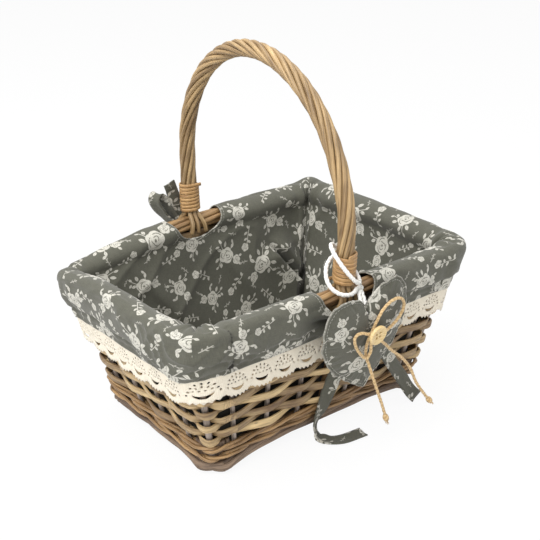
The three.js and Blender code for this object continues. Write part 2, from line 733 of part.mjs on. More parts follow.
const ACROSS = new THREE.Vector3(1, 0, 0);
const OUTWARD = new THREE.Vector3(0, 1, 0);
const TIE_OUT = CUFF_OUT - CLEARANCE + TIE_KNOT_DEPTH / 2; // the knot bears on the edges of the slit

function tieKnot(side) {
  const knot = new THREE.SphereGeometry(1, 10, 6);
  knot.scale(TIE_KNOT_WIDTH / 2, TIE_KNOT_DEPTH / 2, TIE_KNOT_HEIGHT / 2);
  return knot.translate(...before(side, 0, TIE_OUT, TIE_HEIGHT));
}

function tie(side, route, directions) {
  return ribbon(route.map(([x, out, z]) => before(side, x, out, z)), directions);
}

// The tail that stands up behind the handle: its distances out start at the middle of the leg
function standingTail(route) {
  const points = route.map(([x, out, z]) => {
    const leg = handleLine.getPointAt(legShare(z));
    return new THREE.Vector3(x, leg.y + out, z);
  });
  return ribbon(points, points.map(() => ACROSS));
}

// Routes of the ties: across, out from the wall, and up
const FRONT_LEFT_TAIL = [
  [-2, 12.6, 129.6], [2, 13.5, 112], [5, 14, 92], [3, 10, 70], [-1, 9, 50], [-5, 9, 32], [-12, 10, 14],
  [-15, 14, 3], [-16, 21, 1.2], [-13, 32, 1.2], [0, 38.5, 1.2], [26, 43, 1.2],
];
const FLOOR_DIRECTIONS = [
  new THREE.Vector3(0.9, 0.3, 0), new THREE.Vector3(0.8, 0.5, 0), new THREE.Vector3(0.7, 0.7, 0),
  new THREE.Vector3(0.3, 1, 0), OUTWARD,
];
const FRONT_LEFT_DIRECTIONS = [
  ...FRONT_LEFT_TAIL.slice(FLOOR_DIRECTIONS.length).map(() => ACROSS), ...FLOOR_DIRECTIONS,
];
const FRONT_RIGHT_TAIL = [
  [6.8, 15.9, 133.2], [28, 16, 110], [50, 16, 84], [70, 16, 58], [88, 18, 34], [101, 23, 14], [108, 28, 5],
];
const FRONT_RIGHT_DIRECTIONS = FRONT_RIGHT_TAIL.map(() => new THREE.Vector3(0.8, 0, 0.6));
const BACK_UPPER_LOOP = [
  [-3, 17, 137], [-20, 17, 144], [-36, 17, 154], [-43, 17, 170], [-34, 17, 181], [-25, 17, 173],
  [-15, 17.5, 157], [-4, 17, 141],
];
const BACK_LOWER_LOOP = [
  [3, 17, 137], [20, 17, 137], [36, 17.5, 128], [42, 18, 112], [33, 18, 103], [25, 18, 111], [16, 18, 122],
  [4, 17, 132],
];
const BACK_UPPER_TAIL = [[2, 14, 143.5], [-3, 14, 157], [-9.5, 14, 174], [-15, 14, 191]];
const BACK_LOWER_TAIL = [[0, 14.5, 129.6], [-2, 15, 110], [-3, 14, 88], [-2, 10, 68], [0, 9, 52]];
const BACK_LOOP_DIRECTIONS = BACK_UPPER_LOOP.map(() => OUTWARD);

function backBow() {
  return join(
    tieKnot(1),
    tie(1, BACK_UPPER_LOOP, BACK_LOOP_DIRECTIONS),
    tie(1, BACK_LOWER_LOOP, BACK_LOOP_DIRECTIONS),
  );
}

// Padded heart: its own frame starts at the cleft, with x across, y into the basket and z up

function heartOutline() {
  const half = HEART_WIDTH / 2;
  const shape = new THREE.Shape().moveTo(0, 0);
  shape.bezierCurveTo(half * 0.06, HEART_LOBE * 0.7, half * 0.3, HEART_LOBE, half * 0.6, HEART_LOBE);
  shape.bezierCurveTo(half * 0.86, HEART_LOBE, half, HEART_LOBE * 0.4, half, -HEART_SHOULDER);
  shape.bezierCurveTo(half, -HEART_DROP * 0.53, half * 0.5, -HEART_DROP * 0.81, 0, -HEART_DROP);
  const right = shape.getPoints(HEART_CURVE_STEPS);
  const left = right.slice(1, -1).toReversed().map(({ x, y }) => new THREE.Vector2(-x, y));
  return [...right, ...left];
}

// The pad's thickness falls from its middle to the seam round its edge
function heartPad() {
  const outline = heartOutline();
  const level = (share) => HEART_EDGE / 2 + ((HEART_THICKNESS - HEART_EDGE) / 2) * (1 - share ** 2.4) ** 0.7;
  const ring = (share, side) => outline.map(({ x, y }) =>
    new THREE.Vector3(x * share, side * level(share), HEART_MIDDLE + (y - HEART_MIDDLE) * share));
  const shares = [0.25, 0.55, 0.8, 0.94, 1];
  return loft([
    ...shares.map((share) => ring(share, 1)),
    ...shares.toReversed().map((share) => ring(share, -1)),
  ]);
}

const TWINE_LAYER = HEART_THICKNESS / 2 + CLEARANCE + TWINE_DIAMETER / 2;
const TWINE_CROSSING = TWINE_LAYER + TWINE_DIAMETER + CLEARANCE;
const BUTTON_BACK = TWINE_CROSSING + TWINE_DIAMETER / 2 + CLEARANCE;

function heartButton() {
  const radius = BUTTON_DIAMETER / 2;
  const profile = [
    [0, 0], [radius - BUTTON_DISH, 0], [radius, BUTTON_DISH], [radius, BUTTON_THICKNESS - BUTTON_DISH],
    [radius - BUTTON_DISH, BUTTON_THICKNESS], [radius - BUTTON_RIM, BUTTON_THICKNESS],
    [radius - BUTTON_RIM - BUTTON_DISH, BUTTON_THICKNESS - BUTTON_DISH], [0, BUTTON_THICKNESS - BUTTON_DISH],
  ];
  const disc = new THREE.LatheGeometry(profile.map(([x, y]) => new THREE.Vector2(x, y)), BUTTON_SIDES);
  const holes = [[-1, -1], [1, -1], [1, 1], [-1, 1]].map(([x, z]) => {
    const hole = new THREE.CylinderGeometry(BUTTON_HOLE / 2, BUTTON_HOLE / 2, 3 * BUTTON_THICKNESS, 8);
    return hole.translate(x * BUTTON_HOLE_SPREAD, 0, z * BUTTON_HOLE_SPREAD);
  });
  return cut(disc, ...holes).rotateX(Math.PI).translate(0, -BUTTON_BACK, -BUTTON_DROP);
}

// One length of twine: left tail, upper loop, lower loop and right tail, crossing once behind the button
const TWINE_ROUTE = [
  [5, TWINE_LAYER + 18.7, -115], [2, TWINE_LAYER + 15.6, -98.5], [-1.5, TWINE_LAYER + 12.8, -83],
  [-4.5, TWINE_LAYER + 8.5, -66], [-6, TWINE_LAYER + 3.5, -52], [-7, TWINE_LAYER, -42],
  [-6.4, TWINE_LAYER, -30], [-2, TWINE_LAYER, -20], [4, TWINE_LAYER, -9], [11, TWINE_LAYER, 1],
  [21, TWINE_LAYER, 5.5], [30.5, TWINE_LAYER, 3.5], [36, TWINE_LAYER, -4], [35.5, TWINE_LAYER, -13],
  [29, TWINE_LAYER, -21], [18.5, TWINE_LAYER + 1, -24.5], [10, TWINE_CROSSING, -22],
  [0, TWINE_CROSSING, -17.5], [-8, TWINE_CROSSING, -14.5], [-15.5, TWINE_LAYER + 1, -11],
  [-21, TWINE_LAYER, -14], [-19.5, TWINE_LAYER, -25], [-14, TWINE_LAYER + 1.2, -37],
  [-9, TWINE_CROSSING, -42.5], [-4.5, TWINE_CROSSING, -37], [-4.5, TWINE_CROSSING, -28],
  [-1.5, TWINE_CROSSING, -24.5], [3, TWINE_CROSSING, -26], [8, TWINE_CROSSING, -32],
  [13, TWINE_CROSSING, -38.5], [21, TWINE_LAYER + 4.6, -50], [32.5, TWINE_LAYER + 7, -64.5],
  [40.5, TWINE_LAYER + 10.6, -79.5], [46.5, TWINE_LAYER + 14, -98.5], [55, TWINE_LAYER + 18.3, -116.5],
  [61, TWINE_LAYER + 20, -127],
];

function twine() {
  const line = new THREE.CatmullRomCurve3(TWINE_ROUTE.map(([x, off, z]) => new THREE.Vector3(x, -off, z)));
  return tube(line, TWINE_DIAMETER, 6, TWINE_STEPS);
}

// White cord: a loop round the front leg, its knot, and two strands from the knot into the heart's cleft

const UP = new THREE.Vector3(0, 0, 1);
const loopFoot = (() => {
  const angle = THREE.MathUtils.degToRad(CORD_LOOP_TURN);
  return new THREE.Vector3(Math.sin(angle), -Math.cos(angle), 0);
})();

function cordLoop() {
  const leg = new THREE.Vector3(0, -HANDLE_SPAN / 2, 0);
  const points = [];
  for (let step = 0; step <= CORD_LOOP_STEPS; step += 1) {
    const degrees = lerp(CORD_LOOP_OPENING, 360 - CORD_LOOP_OPENING, step / CORD_LOOP_STEPS);
    const angle = THREE.MathUtils.degToRad(degrees);
    const way = loopFoot.clone().applyAxisAngle(UP, angle);
    const z = CORD_LOOP_HEIGHT - CORD_LOOP_TILT * Math.cos(angle);
    points.push(leg.clone().addScaledVector(way, CORD_LOOP_RADIUS).setZ(z));
  }
  return tube(new THREE.CatmullRomCurve3(points), CORD_DIAMETER, 8, CORD_LOOP_STEPS);
}

const KNOT = new THREE.Vector3(0, -HANDLE_SPAN / 2, 0)
  .addScaledVector(loopFoot, CORD_LOOP_RADIUS)
  .setZ(CORD_LOOP_HEIGHT - CORD_LOOP_TILT - CORD_DIAMETER / 2 - CORD_KNOT_DIAMETER / 2);

function cordKnot() {
  return new THREE.SphereGeometry(CORD_KNOT_DIAMETER / 2, 10, 8).translate(...KNOT);
}

// The two strands lie side by side, from just below the knot to just above the cleft
function hangingCord(knot, widening) {
  const foot = new THREE.Vector3(0, 0, STRAND_END);
  const down = foot.clone().sub(knot).normalize();
  const head = knot.clone().addScaledVector(down, CORD_KNOT_DIAMETER / 2 + CLEARANCE);
  foot.addScaledVector(down, widening);
  const strands = [-1, 1].map((side) => {
    const beside = new THREE.Vector3((side * STRAND_SPREAD) / 2, 0, 0).projectOnPlane(down);
    const line = new THREE.LineCurve3(head.clone().add(beside), foot.clone().add(beside));
    return tube(line, CORD_DIAMETER + 2 * widening, 8, 1);
  });
  return join(...strands);
}

// The assembly

const basket = new THREE.Group();

function add(group, name, geometry, material) {
  const mesh = new THREE.Mesh(geometry, material);
  mesh.name = name;
  group.add(mesh);
}

const body = new THREE.Group();
SIDES.forEach(({ name }, i) => add(body, `${name}_foot_rail_and_stakes`, sideFrame(2 * i), FOOT_WILLOW));
SIDES.forEach(({ name }, i) => {
  const next = SIDES[(i + 1) % SIDES.length].name;
  add(body, `corner_post_${name}_${next}`, cornerPost(2 * i), STAKE_WILLOW);
});
for (let stick = 0; stick < BASE_STICKS; stick += 1) {
  add(body, `base_stick_${stick + 1}`, baseStick(stick), FOOT_WILLOW);
}
add(body, "base_strip", baseStrip(), WILLOW);
add(body, "wale_rod_1", waleRod(0), WALE_WILLOW);
add(body, "wale_rod_2", waleRod(1), WALE_WILLOW);
for (let row = 0; row < ROWS; row += 1) {
  add(body, `weave_row_${row + 1}`, weaveRow(row), WILLOW);
}
const legHole = tube(handleLine, CORE_DIAMETER + 4 * CLEARANCE, CORE_SIDES, CORE_STEPS);
add(body, "rim_border", cut(rimBorder(), legHole), WILLOW);
basket.add(body);

const handle = new THREE.Group();
add(handle, "handle_core", handleCore(), HANDLE_WILLOW);
for (let rod = 0; rod < ROPE_RODS; rod += 1) {
  add(handle, `handle_rod_${rod + 1}`, ropeRod(rod), HANDLE_WILLOW);
}
add(handle, "handle_binding_front", binding(true), HANDLE_WILLOW);
add(handle, "handle_binding_back", binding(false), HANDLE_WILLOW);
basket.add(handle);

const liner = new THREE.Group();
add(liner, "liner_floor", linerFloor(), CLOTH);
add(liner, "liner_front_panel", notchedPanel(0), CLOTH);
add(liner, "liner_right_panel", linerPanel(2), CLOTH);
add(liner, "liner_back_panel", notchedPanel(4), CLOTH);
add(liner, "liner_left_panel", linerPanel(6), CLOTH);
add(liner, "lace_right", lace(FRONT_MIDDLE, BACK_MIDDLE), LACE);
add(liner, "lace_left", lace(BACK_MIDDLE, FRONT_MIDDLE + PLACES), LACE);
add(liner, "front_tie_knot", tieKnot(-1), CLOTH);
add(liner, "front_tie_left_tail", tie(-1, FRONT_LEFT_TAIL, FRONT_LEFT_DIRECTIONS), CLOTH);
add(liner, "front_tie_right_tail", tie(-1, FRONT_RIGHT_TAIL, FRONT_RIGHT_DIRECTIONS), CLOTH);
add(liner, "back_tie_bow", backBow(), CLOTH);
add(liner, "back_tie_upper_tail", standingTail(BACK_UPPER_TAIL), CLOTH);
add(liner, "back_tie_lower_tail", tie(1, BACK_LOWER_TAIL, BACK_LOWER_TAIL.map(() => ACROSS)), CLOTH);
basket.add(liner);

const cords = new THREE.Group();
add(cords, "cord_loop", cordLoop(), COTTON);
add(cords, "cord_knot", cordKnot(), COTTON);
basket.add(cords);

const charm = new THREE.Group();
charm.position.copy(before(-1, HEART_X, HEART_STAND_OFF, HEART_CLEFT_HEIGHT));
charm.rotation.set(THREE.MathUtils.degToRad(HEART_LEAN), THREE.MathUtils.degToRad(HEART_ROLL), 0);
charm.updateMatrixWorld();
const knotSeen = charm.worldToLocal(KNOT.clone());
add(charm, "hanging_cord", hangingCord(knotSeen, 0), COTTON);
add(charm, "heart_pad", cut(heartPad(), hangingCord(knotSeen, CLEARANCE)), CLOTH);
add(charm, "heart_button", heartButton(), BUTTON_WOOD);
add(charm, "twine_bow", twine(), RAFFIA);
basket.add(charm);

export default basket;
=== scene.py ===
"""Looks of a lined willow basket with a roped hoop handle and a padded heart on a cord, in metres.

X runs along the basket, the handle stands across it in Y, Z is up and the heart hangs on the -Y side.
"""

import contextlib
import math
import random

import bmesh
import bpy
import numpy as np
from mathutils import Matrix, Vector, geometry, noise


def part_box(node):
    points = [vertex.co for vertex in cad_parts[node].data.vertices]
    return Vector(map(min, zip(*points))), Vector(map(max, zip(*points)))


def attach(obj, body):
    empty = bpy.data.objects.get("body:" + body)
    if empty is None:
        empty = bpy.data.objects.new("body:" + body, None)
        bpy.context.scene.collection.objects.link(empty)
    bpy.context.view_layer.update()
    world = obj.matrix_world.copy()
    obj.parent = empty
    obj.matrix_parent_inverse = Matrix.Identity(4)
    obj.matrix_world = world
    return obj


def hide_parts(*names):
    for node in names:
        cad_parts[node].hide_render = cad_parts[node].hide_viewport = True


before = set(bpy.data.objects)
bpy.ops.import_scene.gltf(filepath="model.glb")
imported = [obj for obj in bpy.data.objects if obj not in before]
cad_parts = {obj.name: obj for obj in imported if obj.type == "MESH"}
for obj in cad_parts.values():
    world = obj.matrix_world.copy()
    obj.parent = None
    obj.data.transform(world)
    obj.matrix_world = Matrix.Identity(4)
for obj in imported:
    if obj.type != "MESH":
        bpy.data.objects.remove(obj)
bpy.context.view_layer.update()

# Camera and light
CAMERA_PLACE = Vector((-0.57486, -0.71812, 0.54523))
CAMERA_RIGHT = Vector((0.774608, -0.632442, 0.0))
CAMERA_UP = Vector((0.257796, 0.315746, 0.913152))
CAMERA_LENS = 69.78
SENSOR_WIDTH = 36.0
LIGHT_AIM = Vector((0, 0, 0.12))
LIGHTS = (
    ("key", (-1.2, -0.45, 1.45), 1.2, 31.0),
    ("fill", (1.1, -1.2, 0.9), 1.4, 5.0),
    ("top", (-0.1, 0.4, 1.7), 1.6, 22.0),
)

# Sizes read from the frame
border_low, border_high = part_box("rim_border")
BORDER_RADIUS = (border_high.z - border_low.z) / 2
RIM_Z = (border_high.z + border_low.z) / 2
RIM_HALF = (border_high.x - BORDER_RADIUS, border_high.y - BORDER_RADIUS)
FLOOR_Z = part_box("liner_floor")[1].z
STRIP_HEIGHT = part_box("weave_row_1")[1].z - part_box("weave_row_1")[0].z
ROWS = sum(name.startswith("weave_row_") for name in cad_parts)
CORE_LOW, CORE_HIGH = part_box("handle_core")
ROPE_RODS = sum(name.startswith("handle_rod_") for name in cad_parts)
KNOT = (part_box("cord_knot")[0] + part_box("cord_knot")[1]) / 2
KNOT_RADIUS = (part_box("cord_knot")[1].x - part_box("cord_knot")[0].x) / 2
BUTTON_LOW, BUTTON_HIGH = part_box("heart_button")

# Willow body, on the line of its stakes
BASE_HALF = (0.122, 0.0835)
BASE_CORNER = 0.014
RIM_CORNER = 0.022
STAKE_RADIUS = 0.0022
POST_RADIUS = 0.003
CORE_RADIUS = 0.0033
STAKE_TOP = RIM_Z - BORDER_RADIUS
UPRIGHT_STEPS = 16
LONG_SHARES = (0.26, 0.58, 0.9)
SHORT_SHARES = (-0.8, -0.8 / 3, 0.8 / 3, 0.8)
STRIP_THICKNESS = 0.0026
WEAVE_GAP = 0.0004
WALE_GAP = 0.0003
TOP_ROW_LIFT = 0.0025
WALE_RADIUS = 0.0016
FOOT_ROD_RADIUS = 0.0027
FOOT_CENTRE = 0.0064
FOOT_ARCHES = (0.0085, 0.003)
FOOT_CORNER, FOOT_CORNER_RUN = 0.004, 0.018
CORNER_SAG = 0.017
SAG_FROM, SAG_TO = (4.55, 0.6), (5.6, 0.8)
CORNER_TUCK = 0.007
RIM_LIFTS = ((2.5, 0.7, 0.004), (3.5, 0.35, 0.005), (4.0, 0.4, -0.002), (4.9, 0.35, -0.003))

# Handle
HANDLE_HALF = -CORE_LOW.y - CORE_RADIUS
HANDLE_SPRING = 0.215
HANDLE_FOOT = 0.031
HANDLE_LEAN = 0.008
HANDLE_POINTS = 1200
ROPE_RADIUS = 0.0059
ROPE_ROD_RADIUS = 0.0022
ROPE_TURNS = 3
ROPE_SLACK = 0.3
ROPE_STEPS = 220
ROPE_END_STEPS = 14
ROPE_START = RIM_Z + BORDER_RADIUS + 0.003
BINDING_START = RIM_Z + BORDER_RADIUS + 0.005
BINDING_TURNS = 7.5
BINDING_STEPS = 48
BINDING_PITCH = 0.0037
BINDING_RADIUS = 0.0095
CANE_WIDTH, CANE_THICKNESS = 0.0034, 0.0013

# Liner
CLOTH = 0.0012
ROLL_RADIUS = 0.0104
ROLL_IN = 0.0146
INSIDE_OUT = -0.0072
INSIDE_CORNER = -0.0022
ROLL_UNDER = 0.013
CUFF_BULGE = 0.0042
HEM_OUT = 0.0096
HEM_TURN = 0.0032
HEMS = (0.117, 0.106, 0.116, 0.107)
NOTCH_HALF = (0.031, 0.033)
SLIT_HALF = 0.0025
CLOTH_STEP = 0.0021
PANEL_DEPTH = 0.226
LACE_DROP = 0.025
LACE_OVERLAP = 0.005
LACE_REPEAT = 0.026
LACE_LEVEL = 0.105
LACE_THREAD = 0.0007
TIE_WIDTH = 0.0135
TIE_CLOTH = 0.0013

# Cords
TWINE_RADIUS = 0.0015
TWINE_LAY = 0.018
CORD_RADIUS = 0.002
CORD_LAY = 0.014
PLIES = 3
PLY_SHARE = 0.66
CORD_UP = (0.2, 0.9, 0.4)
TWINE_STEPS, LOOP_STEPS, SLACK_STEPS, STRAND_STEPS = 420, 160, 110, 90

PLACES = 8
# Corners as places round the wall: front left, back left and front right
NEAR_CORNER, LEFT_CORNER, RIGHT_CORNER = 7.5, 5.5, 1.5
SIDES = ("front", "right", "back", "left")
OUTS = ((0, -1), (1, 0), (0, 1), (-1, 0))
RUNS = ((1, 0), (0, 1), (-1, 0), (0, -1))
MERGE = 1e-7
SPLINE_STEPS = 24

rng = random.Random(7)


# Small helpers

def lerp(a, b, share):
    return a + (b - a) * share


def ease(share):
    share = min(max(share, 0.0), 1.0)
    return share * share * (3 - 2 * share)


def bump_at(value, centre, width):
    return math.exp(-(((value - centre) / width) ** 2))


def ripple(size, x, y, z):
    """Smooth noise, up to about that size."""
    return size * noise.noise((x, y, z))


def unit(vectors):
    return vectors / np.linalg.norm(vectors, axis=-1, keepdims=True)


def passed(path):
    """The length of a path up to each of its points."""
    return np.concatenate([[0], np.cumsum(np.linalg.norm(np.diff(path, axis=0), axis=1))])


def evenly(points, count, to_end=True):
    """Points evenly spaced along the straight lines between the given ones."""
    along = passed(points)
    at = np.linspace(0, along[-1], count, endpoint=to_end)
    return np.stack([np.interp(at, along, points[:, k]) for k in range(points.shape[1])], axis=1)


def spline(points, count):
    """Points evenly spaced along a smooth curve through the given ones."""
    points = np.asarray(points, float)
    longer = np.vstack([2 * points[0] - points[1], points, 2 * points[-1] - points[-2]])
    fine = []
    for p0, p1, p2, p3 in zip(longer, longer[1:], longer[2:], longer[3:]):
        for t in np.linspace(0, 1, SPLINE_STEPS, endpoint=False):
            fine.append(0.5 * (2 * p1 + (p2 - p0) * t + (2 * p0 - 5 * p1 + 4 * p2 - p3) * t**2
                               + (3 * p1 - p0 - 3 * p2 + p3) * t**3))
    return evenly(np.vstack([fine, points[-1:]]), count)


def in_metres(route):
    return [(x / 1000, y / 1000, z / 1000) for x, y, z in route]


def length_of(path):
    return float(np.linalg.norm(np.diff(path, axis=0), axis=1).sum())


def carried_ups(path, first):
    """A direction square to the path at each point, turning no more than the path does."""
    ups = [np.asarray(first, float)]
    for tangent in unit(np.gradient(path, axis=0)):
        up = ups[-1] - tangent * np.dot(ups[-1], tangent)
        ups.append(up / np.linalg.norm(up))
    return np.array(ups[1:])


def sweep(path, ups, section, closed=False, scales=None):
    """Rings of a section along a path: its first coordinate lies across, its second along up."""
    path = np.asarray(path, float)
    if closed:
        tangents = unit(np.roll(path, -1, 0) - np.roll(path, 1, 0))
    else:
        tangents = unit(np.gradient(path, axis=0))
    across = unit(np.cross(tangents, ups))
    up = np.cross(across, tangents)
    section = np.asarray(section, float)
    scales = np.ones(len(path)) if scales is None else np.asarray(scales)
    spread = section[None, :, 0, None] * across[:, None] + section[None, :, 1, None] * up[:, None]
    return path[:, None] + scales[:, None, None] * spread


def oval(width, height, count, power=2.0):
    """A round or squarish section."""
    points = []
    for i in range(count):
        angle = math.tau * (i + 0.5) / count
        c, s = math.cos(angle), math.sin(angle)
        points.append((math.copysign(abs(c) ** (2 / power), c) * width / 2,
                       math.copysign(abs(s) ** (2 / power), s) * height / 2))
    return points


def cells(rows, columns, closed=False):
    """The four corners of each cell in rows of points, as pairs of row and column."""
    for i in range(rows - 1):
        for j in range(columns if closed else columns - 1):
            yield (i, j), (i, j + 1), (i + 1, j + 1), (i + 1, j)


class Shape:
    """Gathers rods, their places on the flat material and their tones into one mesh."""

    def __init__(self):
        self.points = []
        self.faces = []
        self.flats = []
        self.tones = []

    def rod(self, rings, tone, closed=False):
        """A closed tube through rings of points; tone is a number, or one for each ring."""
        count, size = rings.shape[:2]
        start = len(self.points)
        self.points.extend(map(tuple, rings.reshape(-1, 3)))
        tones = np.broadcast_to(np.asarray(tone, float), (count,))
        self.tones.extend(np.repeat(tones, size))
        centres = rings.mean(axis=1)
        steps = np.linalg.norm(np.diff(centres, axis=0, append=centres[:1]), axis=1)
        girth = float(np.linalg.norm(rings[0] - np.roll(rings[0], 1, 0), axis=1).sum())
        along = np.concatenate([[0], np.cumsum(steps)]) + 0.37 * start
        for cell in cells(count + 1 if closed else count, size, True):
            self.faces.append(tuple(start + i % count * size + j % size for i, j in cell))
            self.flats.extend((along[i], girth * j / size) for i, j in cell)
        if not closed:
            for ring, order in ((0, -1), (count - 1, 1)):
                self.faces.append(tuple(start + ring * size + j for j in range(size))[::order])
                self.flats.extend((along[ring], girth * j / size) for j in range(size))

    def round_rod(self, path, ups, radius, sides, tone, closed=False, scales=None):
        self.rod(sweep(path, ups, oval(2 * radius, 2 * radius, sides), closed, scales), tone, closed)

    def build(self, name, material, slot, nodes=(), body="basket"):
        mesh = flat_mesh(name, self.points, self.faces, self.flats)
        tone = mesh.attributes.new("tone", "FLOAT", "POINT")
        tone.data.foreach_set("value", np.asarray(self.tones, np.float32))
        return place_piece(name, mesh, material, body, nodes)


def flat_mesh(name, verts, faces, flats, stitch=None):
    """A mesh with its places on the flat material; printed cloth also has its distances from stitches."""
    mesh = bpy.data.meshes.new(name)
    mesh.from_pydata(verts, [], faces)
    mesh.uv_layers.new(name="flat").data.foreach_set("uv", np.asarray(flats, np.float32).ravel())
    if stitch is not None:
        marks = np.broadcast_to(np.asarray(stitch, np.float32), (len(verts), 3))
        mesh.attributes.new("stitch", "FLOAT_VECTOR", "POINT").data.foreach_set("vector", marks.ravel())
    return mesh


@contextlib.contextmanager
def editing(mesh):
    """The mesh opened for editing, and written back afterwards."""
    edit = bmesh.new()
    edit.from_mesh(mesh)
    yield edit
    edit.to_mesh(mesh)
    edit.free()


def add_object(name, data):
    added = bpy.data.objects.new(name, data)
    bpy.context.scene.collection.objects.link(added)
    return added


def place_piece(name, mesh, material, body, nodes):
    """An object of the part with its normals out and its faces smooth, riding on a body."""
    with editing(mesh) as edit:
        bmesh.ops.recalc_face_normals(edit, faces=edit.faces)
    mesh.shade_smooth()
    mesh.materials.append(material)
    piece = add_object(name, mesh)
    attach(piece, body)
    if nodes:
        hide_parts(*nodes)
    return piece


def thicken(piece, thickness, offset=0, lining=0):
    """Gives a sheet its thickness; the lining is the material of its reverse."""
    solid = piece.modifiers.new("cloth", "SOLIDIFY")
    solid.thickness = thickness
    solid.offset = offset
    solid.material_offset = lining


# Node materials

class Value:
    """A number in a node tree, so that a sum of sockets is written as a sum."""

    def __init__(self, socket):
        self.socket = socket
        self.tree = socket.id_data

    def math(self, operation, *others, clamp=False):
        node = self.tree.nodes.new("ShaderNodeMath")
        node.operation = operation
        node.use_clamp = clamp
        for place, value in zip(node.inputs, (self, *others)):
            put(place, value)
        return Value(node.outputs[0])

    def __add__(self, other):
        return self.math("ADD", other)

    def __sub__(self, other):
        return self.math("SUBTRACT", other)

    def __mul__(self, other):
        return self.math("MULTIPLY", other)

    def __abs__(self):
        return self.math("ABSOLUTE")

    def clamped(self):
        return self.math("ADD", 0.0, clamp=True)

    def under(self, start):
        """start minus this."""
        return (self * -1.0) + start

    def sin(self, times=1.0, shift=0.0):
        return self.math("MULTIPLY_ADD", times, shift).math("SINE")

    def cos(self, times=1.0, shift=0.0):
        return self.math("MULTIPLY_ADD", times, shift).math("COSINE")

    def floor(self):
        return self.math("FLOOR")

    def most(self, other):
        return self.math("MAXIMUM", other)

    def below(self, limit, soft):
        """1 where this is under the limit, 0 above, with an edge of that softness."""
        gap = (self - limit) * (-1.0 / soft)
        return gap.math("ADD", 0.5, clamp=True)


def put(socket, value):
    """Links a socket to a value, or sets it to a number or a colour."""
    if isinstance(value, Value):
        value = value.socket
    if isinstance(value, bpy.types.NodeSocket):
        socket.id_data.links.new(value, socket)
    else:
        socket.default_value = value


def add_node(tree, kind, **inputs):
    node = tree.nodes.new(kind)
    for name, value in inputs.items():
        put(node.inputs[name.replace("_", " ")], value)
    return node


def split(place):
    """The three numbers of a place or a colour."""
    parts = add_node(place.id_data, "ShaderNodeSeparateXYZ", Vector=place)
    return [Value(socket) for socket in parts.outputs]


def vector(x, y, z=0.0):
    return add_node(x.tree, "ShaderNodeCombineXYZ", X=x, Y=y, Z=z).outputs[0]


def noise_at(x, y, z=0.0, detail=2.0, roughness=0.5):
    place = vector(x, y, z)
    node = add_node(x.tree, "ShaderNodeTexNoise", Vector=place, Scale=1.0, Detail=detail, Roughness=roughness)
    return Value(node.outputs["Fac"])


def blend_colours(share, first, second, blend="MIX"):
    node = share.tree.nodes.new("ShaderNodeMix")
    node.data_type = "RGBA"
    node.blend_type = blend
    node.clamp_factor = True
    put(node.inputs[0], share)
    put(node.inputs[6], first)
    put(node.inputs[7], second)
    return node.outputs[2]


def linear(red, green, blue):
    """A colour given as it looks on a screen, from 0 to 255."""
    def one(value):
        value /= 255
        return value / 12.92 if value <= 0.04045 else ((value + 0.055) / 1.055) ** 2.4
    return (one(red), one(green), one(blue), 1.0)


def new_material(name):
    material = bpy.data.materials.new(name)
    material.use_nodes = True
    tree = material.node_tree
    tree.nodes.clear()
    shader = tree.nodes.new("ShaderNodeBsdfPrincipled")
    output = tree.nodes.new("ShaderNodeOutputMaterial")
    tree.links.new(shader.outputs[0], output.inputs["Surface"])
    return material, tree, shader


def flat_place(tree):
    node = tree.nodes.new("ShaderNodeUVMap")
    node.uv_map = "flat"
    return split(node.outputs[0])[:2]


def attribute(tree, name, output):
    node = tree.nodes.new("ShaderNodeAttribute")
    node.attribute_name = name
    return node.outputs[output]


def finish_surface(shader, colour, roughness, sheen=0.0, coat=0.0):
    put(shader.inputs["Base Color"], colour)
    put(shader.inputs["Roughness"], roughness)
    put(shader.inputs["Sheen Weight"], sheen)
    put(shader.inputs["Coat Weight"], coat)


def add_bump(shader, height, strength, distance):
    bump = add_node(height.tree, "ShaderNodeBump", Strength=strength, Distance=distance, Height=height)
    put(shader.inputs["Normal"], bump.outputs[0])


WILLOW_EYES = linear(70, 48, 32)


def willow(name, pale, deep, roughness=0.5, knots=0.5):
    """Peeled willow: streaks along the rod, blotches, small dark eyes and a tone of its own for each rod."""
    material, tree, shader = new_material(name)
    along, around = flat_place(tree)
    tone = Value(attribute(tree, "tone", "Fac"))
    streaks = noise_at(along * 40.0, around * 900.0, tone * 31.0, 3.0, 0.55)
    blotches = noise_at(along * 38.0, around * 90.0, tone * 17.0)
    spots = vector(along * 42.0, around * 110.0, tone * 9.0)
    eyes = add_node(tree, "ShaderNodeTexVoronoi", Vector=spots, Scale=1.0)
    eye = Value(eyes.outputs["Distance"]).below(0.07, 0.05) * knots
    share = tone * 0.6 + blotches * 0.9 + streaks * 0.35 - 0.5
    colour = blend_colours(share, deep, pale)
    colour = blend_colours(streaks.below(0.42, 0.18) * 0.45, colour, deep, "MULTIPLY")
    colour = blend_colours(eye, colour, WILLOW_EYES)
    finish_surface(shader, colour, streaks * 0.3 + (roughness - 0.12))
    add_bump(shader, streaks + blotches * 0.5, 0.25, 0.0005)
    return material


def thread(name, pale, deep, twist, roughness=0.9):
    """Spun cord or twine: fine strands that lie aslant."""
    material, tree, shader = new_material(name)
    along, around = flat_place(tree)
    strands = (along * twist + around * 1400.0).sin() * 0.5 + 0.5
    fuzz = noise_at(along * 500.0, around * 900.0, detail=3.0)
    colour = blend_colours(strands * 0.6 + fuzz * 0.5 - 0.1, deep, pale)
    finish_surface(shader, colour, roughness, sheen=0.2)
    add_bump(shader, strands + fuzz * 0.5, 0.5, 0.0004)
    return material


# Floral print: a rose with a bud and leafy stems in each cell, sprays between them, and fine twigs

INK_EDGE = 0.0004
PRINT_CELL = 0.048
PRINT_TURN = math.radians(27)
PRINT_JITTER = 0.006
STEM_HALF = 0.0003


